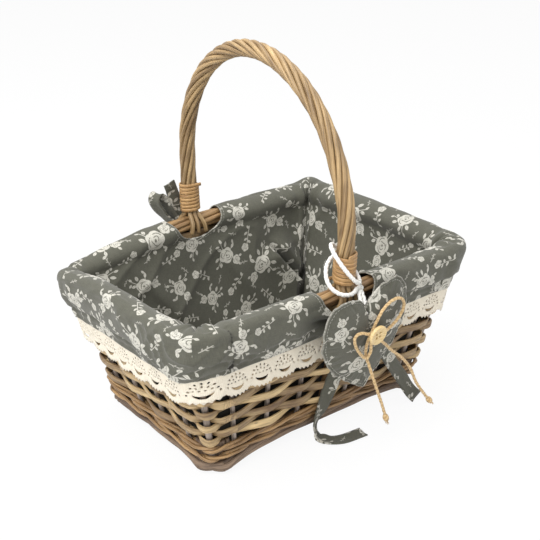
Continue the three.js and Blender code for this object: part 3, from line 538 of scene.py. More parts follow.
def scattered(u, v, shift):
    """The place in the frame of the motif of its cell, which is moved and turned by chance."""
    across = u * (1 / PRINT_CELL) + shift[0]
    up = v * (1 / PRINT_CELL) + shift[1]
    column, row = across.floor(), up.floor()
    cell = vector(column, row, 10 * shift[0] + shift[1])
    chance = add_node(u.tree, "ShaderNodeTexWhiteNoise", Vector=cell)
    first, second, third = split(chance.outputs["Color"])
    x = (across - column - 0.5) * PRINT_CELL - (first - 0.5) * PRINT_JITTER
    y = (up - row - 0.5) * PRINT_CELL - (second - 0.5) * PRINT_JITTER
    turn = third * math.tau
    flip = (first * 7.3).math("FRACT").below(0.5, 0.001) * 2.0 - 1.0
    size = (second * 5.7).math("FRACT") * 0.3 + 0.85
    return (x * turn.cos() + y * turn.sin()) * size, (y * turn.cos() - x * turn.sin()) * size * flip


def leaf(x, y, start, degrees, long, wide):
    """A pointed leaf with a bare vein, from a place along an angle; the lengths are in millimetres."""
    c, s = math.cos(math.radians(degrees)), math.sin(math.radians(degrees))
    x, y = x - start[0] / 1000, y - start[1] / 1000
    x, y = x * c + y * s, y * c - x * s
    share = x * (1000 / long)
    half = share * share.under(1.0) * (2 * wide / 1000)
    vein = abs(y).below(wide / 1000 * 0.06, INK_EDGE)
    return (abs(y) - half).below(0.0, INK_EDGE) * (vein * -0.6 + 1.0)


def rose(x, y, radius):
    """An open rose: a scalloped edge and broken rings of petals round a bare eye."""
    away = (x * x + y * y).math("SQRT")
    angle = y.math("ARCTAN2", x)
    edge = abs(angle.sin(2.5, 0.4)) * (0.16 * radius) + 0.86 * radius
    whole = (away - edge).below(0.0, INK_EDGE)
    outer = abs(away - 0.66 * radius - angle.sin(2.0) * (0.1 * radius)).below(0.05 * radius, INK_EDGE)
    outer = outer * angle.sin(3.0, 1.0).below(0.35, 0.3)
    inner = abs(away - 0.37 * radius + angle.sin(3.0) * (0.07 * radius)).below(0.05 * radius, INK_EDGE)
    inner = inner * angle.sin(2.0, 4.0).below(0.55, 0.3)
    eye = away.below(0.13 * radius, INK_EDGE)
    return whole * (outer.most(inner).most(eye) * -0.85 + 1.0)


def stem(x, y, start, end):
    """A thin straight line from place to place, in millimetres."""
    run = Vector((end[0] - start[0], end[1] - start[1])) / 1000
    across, up = x - start[0] / 1000, y - start[1] / 1000
    share = (across * (run.x / run.length_squared) + up * (run.y / run.length_squared)).clamped()
    off_x, off_y = across - share * run.x, up - share * run.y
    return (off_x * off_x + off_y * off_y).math("SQRT").below(STEM_HALF, INK_EDGE)


BOUQUET_LEAVES = (
    ((7.4, 3.0), 44, 6.6, 3.2), ((8.4, -2.0), -32, 6.8, 3.3), ((13.4, 4.2), 74, 5.2, 2.6),
    ((14.6, 1.0), -4, 5.4, 2.7), ((1.8, 8.4), 108, 6.2, 3.1), ((-6.6, 12.6), 92, 4.4, 2.2),
    ((-4.4, 8.2), 158, 5.6, 2.9), ((3.0, -8.6), -62, 6.2, 3.0), ((6.0, -12.8), -14, 4.8, 2.4),
    ((-14.0, -9.4), 190, 4.8, 2.5), ((-9.4, -13.0), -108, 4.8, 2.4),
)
BOUQUET_STEMS = (((4, 1), (14.8, 1.8)), ((0, 5), (-6.6, 13.0)), ((1, -5), (6.6, -14.0)))
SPRAY_LEAVES = (
    ((-5.6, -1.2), 150, 4.4, 2.2), ((-3.2, 0.6), 66, 4.6, 2.3), ((-0.6, 0.2), -60, 4.6, 2.3),
    ((2.4, 1.6), 74, 4.2, 2.0), ((4.4, 1.8), -40, 4.2, 2.0),
)
SPRAY_STEM = ((-8, -2), (7, 2.6))
TWIG_LEAVES = (
    ((-3.0, 0), 50, 2.4, 0.7), ((-1.4, 0), -50, 2.4, 0.7), ((0.4, 0), 48, 2.4, 0.7),
    ((2.2, 0), -44, 2.4, 0.7),
)
TWIG_STEM = ((-5, 0), (4, 0))
TWIG_INK = 0.8


def floral_print(u, v):
    """How much ink lies at a place on the flat cloth, from 0 to 1."""
    c, s = math.cos(PRINT_TURN), math.sin(PRINT_TURN)
    u, v = u * c + v * s, v * c - u * s
    x, y = scattered(u, v, (0.0, 0.0))
    inks = [rose(x, y, 0.0084), rose(x + 0.0108, y + 0.0084, 0.005)]
    inks += [leaf(x, y, *each) for each in BOUQUET_LEAVES]
    inks += [stem(x, y, *each) for each in BOUQUET_STEMS]
    x, y = scattered(u, v, (0.5, 0.5))
    inks += [leaf(x, y, *each) for each in SPRAY_LEAVES]
    inks += [stem(x, y, *SPRAY_STEM), rose(x - 0.0098, y - 0.0056, 0.0038)]
    for shift in ((0.5, 0.0), (0.0, 0.5)):
        x, y = scattered(u, v, shift)
        inks += [leaf(x, y, *each) * TWIG_INK for each in TWIG_LEAVES]
        inks.append(stem(x, y, *TWIG_STEM) * TWIG_INK)
    ink = inks[0]
    for other in inks[1:]:
        ink = ink.most(other)
    return ink


STITCH_IN, STITCH_HALF = 0.003, 0.0003
STITCH_COLOUR = linear(190, 188, 178)
FRAY_EDGE, FRAY_COLOUR = 0.0007, linear(196, 193, 182)
SEAM_HALF, SEAM_COLOUR = 0.0008, linear(30, 28, 24)


def printed_cloth():
    """Grey-green cotton with a pale print, and pale topstitching where the mesh asks for it."""
    material, tree, shader = new_material("printed_cotton")
    u, v = flat_place(tree)
    ink = floral_print(u, v)
    worn = noise_at(u * 900.0, v * 900.0, detail=3.0)
    warp = noise_at(u * 2200.0, v * 160.0)
    weft = noise_at(u * 160.0, v * 2200.0, 3.0)
    weave = (warp + weft) * 0.5
    ground = blend_colours(weave * 1.6 - 0.3, linear(64, 64, 55), linear(97, 96, 84))
    pale = blend_colours(worn * 1.5 - 0.3, linear(182, 179, 168), linear(215, 212, 201))
    colour = blend_colours(ink * (worn * 0.5 + 0.62), ground, pale)
    edge, along, seam = split(attribute(tree, "stitch", "Vector"))
    dashes = along.math("WRAP", 1.0, 0.0).below(0.65, 0.1)
    sewn = abs(edge - STITCH_IN).below(STITCH_HALF, INK_EDGE) * dashes
    colour = blend_colours(sewn * 0.5, colour, STITCH_COLOUR)
    frayed = abs(edge).below(FRAY_EDGE, 2 * INK_EDGE) * (worn * 2.4 - 0.7).clamped()
    colour = blend_colours(frayed * 0.7, colour, FRAY_COLOUR)
    joint = abs(seam).below(SEAM_HALF, 2 * INK_EDGE)
    knots = (v * 1500.0 + worn * 4.0).sin().below(-0.2, 0.4)
    colour = blend_colours(joint * (knots * 0.45 + 0.35), colour, SEAM_COLOUR)
    finish_surface(shader, colour, 0.92, sheen=0.15)
    add_bump(shader, weave + ink * 0.15 + sewn * 0.8, 0.4, 0.0006)
    return material


def reverse_cloth_painted_shade():
    """The plain reverse of the print, painted dark as the shade seen between the weavers."""
    material, tree, shader = new_material("cotton_reverse_painted_shade")
    u, v = flat_place(tree)
    weave = noise_at(u * 1600.0, v * 1600.0)
    # Painted shade: the plain reverse is coloured well below the print's ground, so the gaps between the
    # weavers look shadowed
    colour = blend_colours(weave, linear(34, 33, 29), linear(58, 56, 50))
    finish_surface(shader, colour, 0.95)
    return material


def cotton_lace():
    """Thick cream lace: fine ribs along and across the band and a little fuzz."""
    material, tree, shader = new_material("cream_lace")
    u, v = flat_place(tree)
    threads = (u * 5200.0).sin() * 0.25 + (v * 4400.0).sin() * 0.25 + 0.5
    fuzz = noise_at(u * 700.0, v * 700.0, detail=3.0)
    share = threads * 0.5 + fuzz * 0.6 - 0.1
    colour = blend_colours(share, linear(206, 196, 176), linear(232, 224, 208))
    finish_surface(shader, colour, 0.9, sheen=0.2)
    add_bump(shader, threads + fuzz, 0.4, 0.0004)
    return material


def button_wood():
    """Pale turned wood with growth rings across the disc."""
    material, tree, shader = new_material("button_wood")
    u, v = flat_place(tree)
    wave = noise_at(u * 90.0, v * 700.0, detail=3.0)
    rings = (v * 2600.0 + wave * 9.0).sin() * 0.5 + 0.5
    colour = blend_colours(rings * 0.45 + wave * 0.5, linear(202, 170, 112), linear(226, 205, 156))
    finish_surface(shader, colour, 0.42, coat=0.15)
    add_bump(shader, rings, 0.1, 0.0003)
    return material


WEAVE_WILLOW = willow("weave_willow", linear(230, 202, 150), linear(110, 84, 56))
STAKE_WILLOW = willow("stake_willow", linear(184, 172, 162), linear(112, 98, 88), 0.6)
WALE_WILLOW = willow("wale_willow", linear(188, 152, 104), linear(100, 74, 50))
FOOT_WILLOW = willow("foot_willow", linear(152, 130, 108), linear(84, 66, 54), 0.65)
HANDLE_WILLOW = willow("handle_willow", linear(198, 168, 121), linear(90, 64, 38), 0.45)
CANE = willow("binding_cane", linear(212, 174, 120), linear(146, 106, 64), 0.4, 0.2)
PRINTED = printed_cloth()
# The liner's plain reverse, painted dark as shade
REVERSE_PAINTED_SHADE = reverse_cloth_painted_shade()
LACE = cotton_lace()
BUTTON = button_wood()
COTTON = thread("white_cotton", linear(250, 249, 246), linear(222, 220, 214), 1700.0)
RAFFIA = thread("raffia", linear(222, 194, 144), linear(170, 136, 90), 1500.0, 0.7)


# The wall

def half_at(axis, z):
    return lerp(BASE_HALF[axis], RIM_HALF[axis], z / RIM_Z)


def corner_at(z):
    return lerp(BASE_CORNER, RIM_CORNER, z / RIM_Z)


def sag_at(place):
    """The rim dips at the back left corner, peaks at the back right one and is a little uneven elsewhere."""
    place = place % PLACES
    uneven = 0.001 * math.sin(math.tau * place / PLACES * 2 + 0.8)
    lift = sum(height * bump_at(place, middle, width) for middle, width, height in RIM_LIFTS)
    dip = ease((place - SAG_FROM[0]) / SAG_FROM[1]) * (1 - ease((place - SAG_TO[0]) / SAG_TO[1]))
    return uneven + lift - CORNER_SAG * dip


def tuck_at(place, z):
    """How far the wall is drawn in below the rim at the back left corner."""
    height = min(max(z / RIM_Z, 0.0), 1.0)
    return CORNER_TUCK * bump_at(place % PLACES, LEFT_CORNER, 0.5) * math.sin(math.pi * (0.2 + 0.8 * height))


def slack_at(place):
    """The share of its fullness that the cuff keeps: none at the front right and the back left corners."""
    place = place % PLACES
    return 1 - bump_at(place, RIGHT_CORNER, 0.6) - bump_at(place, LEFT_CORNER, 0.6)


def slump_at(place):
    """The share by which the border thins and the roll of cloth over it flattens at the back left corner."""
    return 0.5 * bump_at(place % PLACES, 5.45, 0.6)


def foot_rise(place):
    """The foot arches up a little between the corners."""
    segment = math.floor(place) % PLACES
    share = place - math.floor(place)
    return 0.0 if segment % 2 else FOOT_ARCHES[segment // 2 % 2] * (4 * share * (1 - share)) ** 0.4


def foot_corner(place):
    """How far the foot stands out beside its nearest corner, which is cut flat."""
    away = abs(place % PLACES - NEAR_CORNER)
    away = min(away, PLACES - away)
    if away < 0.5:
        return FOOT_CORNER * math.sin(math.pi * away)
    return FOOT_CORNER * bump_at((away - 0.5) * segment_length(int(place), FOOT_CENTRE), 0, FOOT_CORNER_RUN)


def on_wall(place, z, out=0.0):
    """A point at a place from 0 to 8 round the wall, as far out from the stakes as given."""
    segment = int(math.floor(place)) % PLACES
    share = place - math.floor(place)
    side = segment // 2
    out -= tuck_at(place, z)
    radius = corner_at(z)
    reach = half_at(0 if side % 2 else 1, z)
    straight = half_at(1 if side % 2 else 0, z) - radius
    if segment % 2 == 0:
        away, along = reach + out, (2 * share - 1) * straight
    else:
        angle = share * math.pi / 2
        away = reach - radius + (radius + out) * math.cos(angle)
        along = straight + (radius + out) * math.sin(angle)
    x = OUTS[side][0] * away + RUNS[side][0] * along
    y = OUTS[side][1] * away + RUNS[side][1] * along
    return x, y, z + sag_at(place) * min(z / RIM_Z, 1.0) ** 4


def segment_length(segment, z):
    if segment % 2:
        return corner_at(z) * math.pi / 2
    return 2 * (half_at(1 if segment // 2 % 2 else 0, z) - corner_at(z))


def place_along(start, distance, z):
    """The place that lies a distance along the wall from another place."""
    place = start
    while True:
        segment = math.floor(place + 1e-9)
        long = segment_length(segment, z)
        left = (segment + 1 - place) * long
        if distance <= left:
            return place + distance / long
        distance -= left
        place = segment + 1.0


def distance_along(start, end, z):
    total = 0.0
    for segment in range(math.floor(start), math.ceil(end)):
        low, high = max(start, segment), min(end, segment + 1)
        total += (high - low) * segment_length(segment, z)
    return total


def uprights():
    """Each upright round the wall: its kind, place and radius."""
    found = []
    for side in range(4):
        if side % 2 == 0:
            shares = [-share for share in LONG_SHARES[::-1]] + [0] + list(LONG_SHARES)
        else:
            shares = SHORT_SHARES
        for share in shares:
            kind, radius = ("leg", CORE_RADIUS) if share == 0 else ("stake", STAKE_RADIUS)
            found.append((kind, 2 * side + (1 + share) / 2, radius))
        found.append(("post", 2 * side + 1.5, POST_RADIUS))
    return found


UPRIGHTS = uprights()
WEAVE_STEPS = 9


def wall_frames(places, heights, outs):
    """Points on the wall and the wall's own upward direction at each."""
    path = np.array([on_wall(p, z, o) for p, z, o in zip(places, heights, outs)])
    above = np.array([on_wall(p, z + 0.005, o) for p, z, o in zip(places, heights, outs)])
    return path, unit(above - path)


def woven_line(bends):
    """Places and outward offsets of a weaver that swings smoothly between its bends, right round the wall."""
    places, outs = [], []
    for (place, out), (after, far) in zip(bends, bends[1:] + bends[:1]):
        after = after if after > place else after + PLACES
        for share in np.arange(WEAVE_STEPS) / WEAVE_STEPS:
            places.append(lerp(place, after, share))
            outs.append(lerp(out, far, ease(share) * 0.6 + share * 0.4))
    return places, outs


def strip_tones(count, low, high):
    """Tones along a ring made of several lengths of willow."""
    tones = np.zeros(count)
    at = 0
    while at < count:
        run = rng.randint(24, 60)
        tones[at:at + run] = rng.uniform(low, high)
        at += run
    return tones


def weave_row(row):
    """A split strip that passes in front of one upright and behind the next, right round the wall."""
    name = f"weave_row_{row + 1}"
    low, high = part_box(name)
    level = (low.z + high.z) / 2 + (TOP_ROW_LIFT if row == ROWS - 1 else 0.0)
    bends = []
    for i, (_, place, radius) in enumerate(UPRIGHTS):
        reach = radius + STRIP_THICKNESS / 2 + WEAVE_GAP
        slack = 0.0012 + ripple(0.0008, place * 7.7, row * 3.3, 2.0)
        bends.append((place, reach + slack if (i + row) % 2 else -reach))
    places, outs = woven_line(bends)
    heights = [level + ripple(0.0012, 3.1 * p, row * 5.3, 0.0) for p in places]
    path, ups = wall_frames(places, heights, outs)
    lean = np.array([ripple(0.4, 4.0 * p, row * 3.7, 9.0) for p in places])
    across = unit(np.cross(np.roll(path, -1, 0) - np.roll(path, 1, 0), ups))
    ups = unit(ups + lean[:, None] * across)
    scales = [0.97 + 12 * out + ripple(0.16, 6.0 * p, row * 2.9, 4.0) for p, out in zip(places, outs)]
    section = oval(STRIP_THICKNESS, STRIP_HEIGHT + 0.0006, 12, 2.8)
    shape = Shape()
    shape.rod(sweep(path, ups, section, True, scales), strip_tones(len(path), 0.05, 1.0), True)
    shape.build(f"woven_row_{row + 1}", WEAVE_WILLOW, "weave_willow", [name])


wale_low, wale_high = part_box("wale_rod_1")
WALE_Z = (wale_low.z + wale_high.z) / 2
WALE_BANDS = ((1, WALE_Z - 0.0078, 0.72), (-1, WALE_Z + 0.0038, 0.2))
WALE_STEPS_UP = (0.0026, 0.0, -0.0026)
WALE_STEPS_OUT = (0.0, 0.002)
INNER_ROD_LEVELS = (-0.0042, -0.0012)
INNER_ROD_OUT = STAKE_RADIUS + 2 * WALE_RADIUS + 0.0006
INNER_ROD_STEPS = 180
INNER_ROD_STEP = distance_along(0, PLACES, wale_low.z) / INNER_ROD_STEPS


def wale():
    """Two bands of three thin rods that twine, each in front of two uprights and behind the third.

    Two plain rods lie behind the uprights.
    """
    standing = [upright for upright in UPRIGHTS if upright[0] != "leg"]
    shape = Shape()
    for turn, level, follow in WALE_BANDS:
        for rod in range(3):
            bends, heights = [], []
            for i, (_, place, radius) in enumerate(standing):
                step = (turn * i + rod) % 3
                reach = radius + WALE_RADIUS + WALE_GAP
                bends.append((place, -reach if step == 2 else reach + WALE_STEPS_OUT[step]))
                stray = ripple(0.0008, place * 5, rod * 3.0, turn * 2.0)
                heights.append(level + follow * foot_rise(place) + WALE_STEPS_UP[step] + stray)
            places, outs = woven_line(bends)
            levels = []
            for height, after in zip(heights, heights[1:] + heights[:1]):
                levels += [lerp(height, after, ease(step / WEAVE_STEPS)) for step in range(WEAVE_STEPS)]
            path, ups = wall_frames(places, levels, outs)
            shape.round_rod(path, ups, WALE_RADIUS, 8, strip_tones(len(path), 0.0, 1.0), True)
    places = [place_along(0.0, step * INNER_ROD_STEP, WALE_Z) for step in range(INNER_ROD_STEPS)]
    for level in INNER_ROD_LEVELS:
        heights = [WALE_Z + level + 0.45 * foot_rise(place) for place in places]
        path, ups = wall_frames(places, heights, [-INNER_ROD_OUT] * len(places))
        shape.round_rod(path, ups, WALE_RADIUS, 8, 0.0, True)
    shape.build("twined_wale", WALE_WILLOW, "wale_willow", ["wale_rod_1", "wale_rod_2"])


def upright_rod(shape, place, radius, bottom, tone):
    heights = np.linspace(bottom, STAKE_TOP, UPRIGHT_STEPS)
    outs = [ripple(0.0005, place * 9, z * 40, 2.0) for z in heights]
    path, _ = wall_frames([place] * len(heights), heights, outs)
    shape.round_rod(path, carried_ups(path, (1, 0, 0)), radius, 10, tone)


FOOT_RODS, FOOT_STEPS = 4, 90
FOOT_SPREAD = 0.0029
FOOT_REACH = 2.7


def foot_bundle(shape, side):
    """The rods laid together as the foot of one side, turning slowly about each other."""
    start = 2 * side - 0.85 + PLACES
    whole = distance_along(start, start + FOOT_REACH, FOOT_CENTRE)
    for rod in range(FOOT_RODS):
        line = []
        for step in range(FOOT_STEPS + 1):
            share = step / FOOT_STEPS
            place = place_along(start, whole * share, FOOT_CENTRE)
            angle = math.tau * (rod / FOOT_RODS + 0.7 * share) + ripple(0.5, place * 2.5, rod * 4.0, 6.0)
            height = FOOT_CENTRE + foot_rise(place) + FOOT_SPREAD * math.sin(angle)
            line.append(on_wall(place, height, 1.2 * FOOT_SPREAD * math.cos(angle) + foot_corner(place)))
        path = np.array(line)
        scales = [1.0 + ripple(0.12, step * 0.11, rod * 5.0, side * 3.0) for step in range(FOOT_STEPS + 1)]
        tone = rng.uniform(0.05, 0.95)
        shape.round_rod(path, carried_ups(path, (0, 0, 1)), FOOT_ROD_RADIUS, 10, tone, scales=scales)


PEG_PLACES = (0.985, 1.02, 1.13, 1.24, 1.35, 1.65, 1.76, 1.87, 1.98, 2.02)
PEG_TOP = 0.034


def peg_rod(shape, place):
    """A short end of a foot rod, turned up beside the corner post behind the wale."""
    heights = np.linspace(FOOT_CENTRE, PEG_TOP, 6)
    path, _ = wall_frames([place] * len(heights), heights, [-0.001] * len(heights))
    shape.round_rod(path, carried_ups(path, (1, 0, 0)), STAKE_RADIUS, 8, rng.uniform(0.1, 0.6))


def frames_and_posts():
    """The stakes and foot of each side, and the corner post and pegs at its end."""
    for side, name in enumerate(SIDES):
        stakes, foot, post = Shape(), Shape(), Shape()
        for kind, place, radius in UPRIGHTS:
            if int(place) // 2 == side and kind == "stake":
                upright_rod(stakes, place, radius, FOOT_CENTRE + foot_rise(place), rng.uniform(0.2, 0.9))
        foot_bundle(foot, side)
        upright_rod(post, 2 * side + 1.5, POST_RADIUS, FOOT_CENTRE, rng.uniform(0.3, 0.8))
        for peg in PEG_PLACES:
            peg_rod(foot, 2 * side + peg)
        corner = f"{name}_{SIDES[(side + 1) % 4]}"
        stakes.build(f"stakes_{name}", STAKE_WILLOW, "stake_willow")
        foot.build(f"foot_border_{name}", FOOT_WILLOW, "foot_willow", [f"{name}_foot_rail_and_stakes"])
        post.build(f"post_{corner}", STAKE_WILLOW, "stake_willow", [f"corner_post_{corner}"])


RIM_RODS, RIM_STEPS, RIM_TURNS = 6, 420, 3
RIM_ROD_RADIUS = BORDER_RADIUS * 0.36


def rim_rods():
    """The border: rods laid side by side in a bundle that turns slowly as it goes round."""
    shape = Shape()
    whole = distance_along(0, PLACES, RIM_Z)
    for rod in range(RIM_RODS):
        places, heights, outs = [], [], []
        for step in range(RIM_STEPS):
            share = step / RIM_STEPS
            angle = math.tau * (rod / RIM_RODS + RIM_TURNS * share)
            place = place_along(0.0, whole * share, RIM_Z)
            reach = (BORDER_RADIUS - RIM_ROD_RADIUS) * (1 - slump_at(place))
            places.append(place)
            heights.append(RIM_Z + reach * math.sin(angle))
            outs.append(reach * math.cos(angle))
        path, ups = wall_frames(places, heights, outs)
        scales = [1.0 - slump_at(p) + ripple(0.1, p * 5, rod * 7.0, 1.0) for p in places]
        shape.round_rod(path, ups, RIM_ROD_RADIUS, 9, strip_tones(RIM_STEPS, 0.2, 0.9), True, scales)
    shape.build("border_rods", WALE_WILLOW, "weave_willow", ["rim_border"])


# Handle

def handle_line():
    """The hoop's centre line as pairs of Y and Z, from the back leg over the top to the front leg."""
    rise = CORE_HIGH.z - CORE_RADIUS - HANDLE_SPRING
    legs = [(half_at(1, z), z) for z in np.linspace(HANDLE_FOOT, RIM_Z + BORDER_RADIUS, 5)]
    arch = []
    for angle in np.radians(np.arange(0, 181, 15)):
        y = HANDLE_HALF * math.cos(angle) + HANDLE_LEAN * math.sin(angle)
        arch.append((y, HANDLE_SPRING + rise * math.sin(angle)))
    return spline(legs + arch + [(-y, z) for y, z in legs[::-1]], HANDLE_POINTS)


HANDLE = handle_line()
HANDLE_STEP = length_of(HANDLE) / (len(HANDLE) - 1)
HANDLE_TANGENTS = unit(np.gradient(HANDLE, axis=0))
ROPE_FROM = int(np.argmax(HANDLE[:, 1] > ROPE_START))
BINDING_FROM = int(np.argmax(HANDLE[:, 1] > BINDING_START))
ROPE_FEET = ((RIM_Z + 0.001, 1.0, 1.7), (RIM_Z - 0.009, 0.9, 2.2))
CANE_ENDS = (0.0035, 0.007)


def beside_handle(index, radius, angle):
    """A point beside the handle and the direction to it; angle 0 is on the outside of the hoop."""
    low = min(max(int(index), 0), len(HANDLE) - 2)
    y, z = lerp(HANDLE[low], HANDLE[low + 1], index - low)
    ty, tz = HANDLE_TANGENTS[low]
    away = np.array((-math.sin(angle), tz * math.cos(angle), -ty * math.cos(angle)))
    return np.array((0.0, y, z)) + radius * away, away


def rope_foot(point, side):
    """Two places below the end of a roping rod, on the side of the border that the rod comes down."""
    sign = 1 if abs(point[1]) > half_at(1, RIM_Z) else -1
    places = []
    for z, reach, spread in ROPE_FEET:
        away = half_at(1, z) + sign * reach * (BORDER_RADIUS + ROPE_ROD_RADIUS)
        places.append(np.array((point[0] * spread + 0.0008, side * away, z)))
    return places


def rope_rod(rod):
    """A rod of the roping, with its two ends spread astride the rim border."""
    points, ups = [], []
    last = len(HANDLE) - 1 - ROPE_FROM
    for step in range(ROPE_STEPS + 1):
        wound = step / ROPE_STEPS
        eased = wound + ROPE_SLACK * math.sin(math.tau * wound) / math.tau
        angle = math.tau * (rod / ROPE_RODS + ROPE_TURNS * wound) + ripple(0.06, wound * 7, rod * 4.1, 0.0)
        radius = ROPE_RADIUS + ripple(0.0003, wound * 9, rod * 2.3, 5.0)
        point, away = beside_handle(lerp(ROPE_FROM, last, eased), radius, angle)
        points.append(point)
        ups.append(away)
    head, tail = rope_foot(points[0], 1), rope_foot(points[-1], -1)
    start = spline(head[::-1] + [points[0], points[3]], ROPE_END_STEPS)[:-3]
    end = spline([points[-4], points[-1]] + tail, ROPE_END_STEPS)[3:]
    path = np.vstack([start, points[2:-2], end])
    directions = np.vstack([[ups[0]] * len(start), ups[2:-2], [ups[-1]] * len(end)])
    scales = [1 + ripple(0.08, i * 0.03, rod * 3.3, 8.0) for i in range(len(path))]
    shape = Shape()
    shape.round_rod(path, directions, ROPE_ROD_RADIUS, 10, rng.uniform(0.15, 0.95), scales=scales)
    shape.build(f"roped_rod_{rod + 1}", HANDLE_WILLOW, "handle_willow", [f"handle_rod_{rod + 1}"])


def cane_binding(name, is_front):
    """Flat cane wound round the foot of the hoop, with a short straight end left out at top and bottom."""
    path, ups = [], []
    for step in range(int(BINDING_TURNS * BINDING_STEPS) + 1):
        turned = step / BINDING_STEPS
        uneven = ripple(0.00025, turned * 0.9, 3.0 if is_front else 8.0, 0.0)
        index = BINDING_FROM + (turned * BINDING_PITCH + uneven) / HANDLE_STEP
        index = len(HANDLE) - 1 - index if is_front else index
        angle = math.tau * turned + (math.pi if is_front else 0)
        swell = 0.00022 * math.cos(ROPE_RODS * angle)
        point, away = beside_handle(index, BINDING_RADIUS + swell, angle)
        path.append(point)
        ups.append(away)
    low = [path[0] + unit(path[0] - path[2]) * reach for reach in CANE_ENDS[::-1]]
    high = [path[-1] + unit(path[-1] - path[-3]) * reach for reach in CANE_ENDS]
    path = np.vstack([low, path, high])
    ups = np.vstack([[ups[0]] * 2, ups, [ups[-1]] * 2])
    shape = Shape()
    shape.rod(sweep(path, ups, oval(CANE_WIDTH, CANE_THICKNESS, 10, 3.0)), 0.6)
    shape.build(f"cane_{name}", CANE, "binding_cane", [f"handle_binding_{name}"])


# Liner

def hem_at(place):
    """The hem's height: about level along each side, and sloping round the corners between them."""
    place = place % PLACES
    segment, share = int(place), place - int(place)
    side = segment // 2
    uneven = ripple(0.0012, math.cos(place * math.pi / 4) * 8, math.sin(place * math.pi / 4) * 8, 3.0)
    uneven += 0.003 * bump_at(place, NEAR_CORNER, 0.5) - 0.007 * bump_at(place, LEFT_CORNER, 0.7)
    if segment % 2 == 0:
        return HEMS[side] + uneven
    return lerp(HEMS[side], HEMS[(side + 1) % 4], ease(share)) + uneven


def hem_out(place):
    """How far out from the stakes the hem lies: a little wavy."""
    turn = place * math.tau / PLACES
    return HEM_OUT + ripple(0.0012, math.cos(turn) * 11, math.sin(turn) * 11, 8.0)


WALL_STEPS, ROLL_STEPS, CUFF_STEPS = 30, 17, 20
CREST = WALL_STEPS + ROLL_STEPS // 2
HEM_INDEX = -4


def liner_profile(place):
    """The liner in section: distances along it from the crest, and the offset out and the height at each."""
    hem, low = hem_at(place), hem_out(place)
    roll, inner = ROLL_RADIUS * (1 - slump_at(place)), ROLL_IN * (1 - slump_at(place))
    inside_out = INSIDE_OUT + INSIDE_CORNER * bump_at(place % 2, 1.5, 0.4)
    points = []
    for z in np.linspace(FLOOR_Z, RIM_Z, WALL_STEPS):
        points.append((lerp(inside_out, -inner, ease((z - RIM_Z + ROLL_UNDER) / ROLL_UNDER)), z))
    for angle in np.radians(np.linspace(170, 10, ROLL_STEPS)):
        reach = inner if angle > math.pi / 2 else roll
        points.append((reach * math.cos(angle), RIM_Z + roll * math.sin(angle)))
    for share in np.linspace(0, 1, CUFF_STEPS):
        bulge = CUFF_BULGE * slack_at(place) * math.sin(math.pi * min(share / 0.9, 1.0)) ** 0.8
        points.append((lerp(roll, low, ease((share - 0.45) / 0.5)) + bulge, lerp(RIM_Z, hem, share)))
    points += [(low - 0.0012, hem - 0.0008), (low - HEM_TURN, hem + 0.001), (low - HEM_TURN, hem + 0.006)]
    points = np.array(points)
    along = passed(points)
    return along - along[CREST], points


PANEL_LEVEL = 0.135
SEAM_X = 0.1245
SHARP_FOLD = ((0.084, 0.112), (0.137, 0.046))
SHARP_RISE, SHARP_WIDTH = 0.0135, 0.02
SHARP_FALL, SHARP_CREASE = 0.016, 0.0034
SOFT_FOLDS = (
    ((0.02, 0.122), (0.066, 0.044), 0.005),
    ((-0.082, 0.122), (-0.028, 0.048), 0.005),
)
TIE_PULL = ((-0.004, 0.126), (-0.05, 0.141))


def panel_width(side):
    start = 2 * side - 0.5 + PLACES
    return distance_along(start, start + 2, PANEL_LEVEL)


def cloth_columns():
    """Columns of the liner: the panel of each, its distance from the panel's middle and its place."""
    columns = []
    for side in range(4):
        whole = panel_width(side)
        count = round(whole / CLOTH_STEP)
        for i in range(count):
            place = place_along(2 * side - 0.5 + PLACES, whole * i / count, PANEL_LEVEL)
            columns.append((side, whole * (i / count - 0.5), place))
    return columns


def beside_line(x, z, start, end):
    """How far a place lies to the left of a line, and the share of the line's length that is passed."""
    run = Vector(end) - Vector(start)
    away = Vector((x, z)) - Vector(start)
    share = away.dot(run) / run.length_squared
    return (run.x * away.y - run.y * away.x) / run.length, share


def cuff_wrinkle(point, side, u, v, width, hem_v):
    """Outside: soft waves, folds that slant down to the nearest corner, a crease above the hem and a seam."""
    x, y, z = point
    seam = width / 2 - abs(u)
    above = hem_v - v
    soft = ripple(0.0018, x * 17, y * 17, z * 13) + ripple(0.001, x * 46, y * 46, z * 30)
    fold = 1 - abs(ripple(1, x * 20 + z * 16, y * 20 + z * 16, side * 3.0))
    slant = 0.0034 * (fold ** 5 - 0.3)
    if (side == 0 and u < 0) or (side == 3 and u > 0):
        phase = (seam - 0.7 * above) * 210 + ripple(2.2, x * 30, y * 30, z * 18)
        gather = 0.0026 * bump_at(seam, 0.012, 0.05) * ((1 - abs(math.sin(phase))) ** 2 - 0.3)
    else:
        gather = 0.0012 * bump_at(seam, 0, 0.035) * math.sin(seam * 330 + v * 70)
    level = 0.0125 + ripple(0.004, x * 20, y * 20, 5.0)
    depth = 0.0018 + ripple(0.0012, x * 26, y * 26, 9.0)
    crease = -depth * bump_at(above, level, 0.003)
    pinch = ripple(0.0012, x * 90, y * 90, z * 16) * bump_at(above, 0.004, 0.007)
    sewn = pull = 0.0
    if side == 0:
        sewn = -0.0018 * bump_at(u + SEAM_X, 0, 0.003)
        off, share = beside_line(u, z, *TIE_PULL)
        pull = 0.004 * (bump_at(off, 0, 0.016) - 2.2 * bump_at(off, 0, 0.005)) * bump_at(share, 0.35, 0.45)
    return (soft + (slant + gather) * ease(v / 0.022) + crease + pinch + sewn + pull) * ease(above / 0.004)


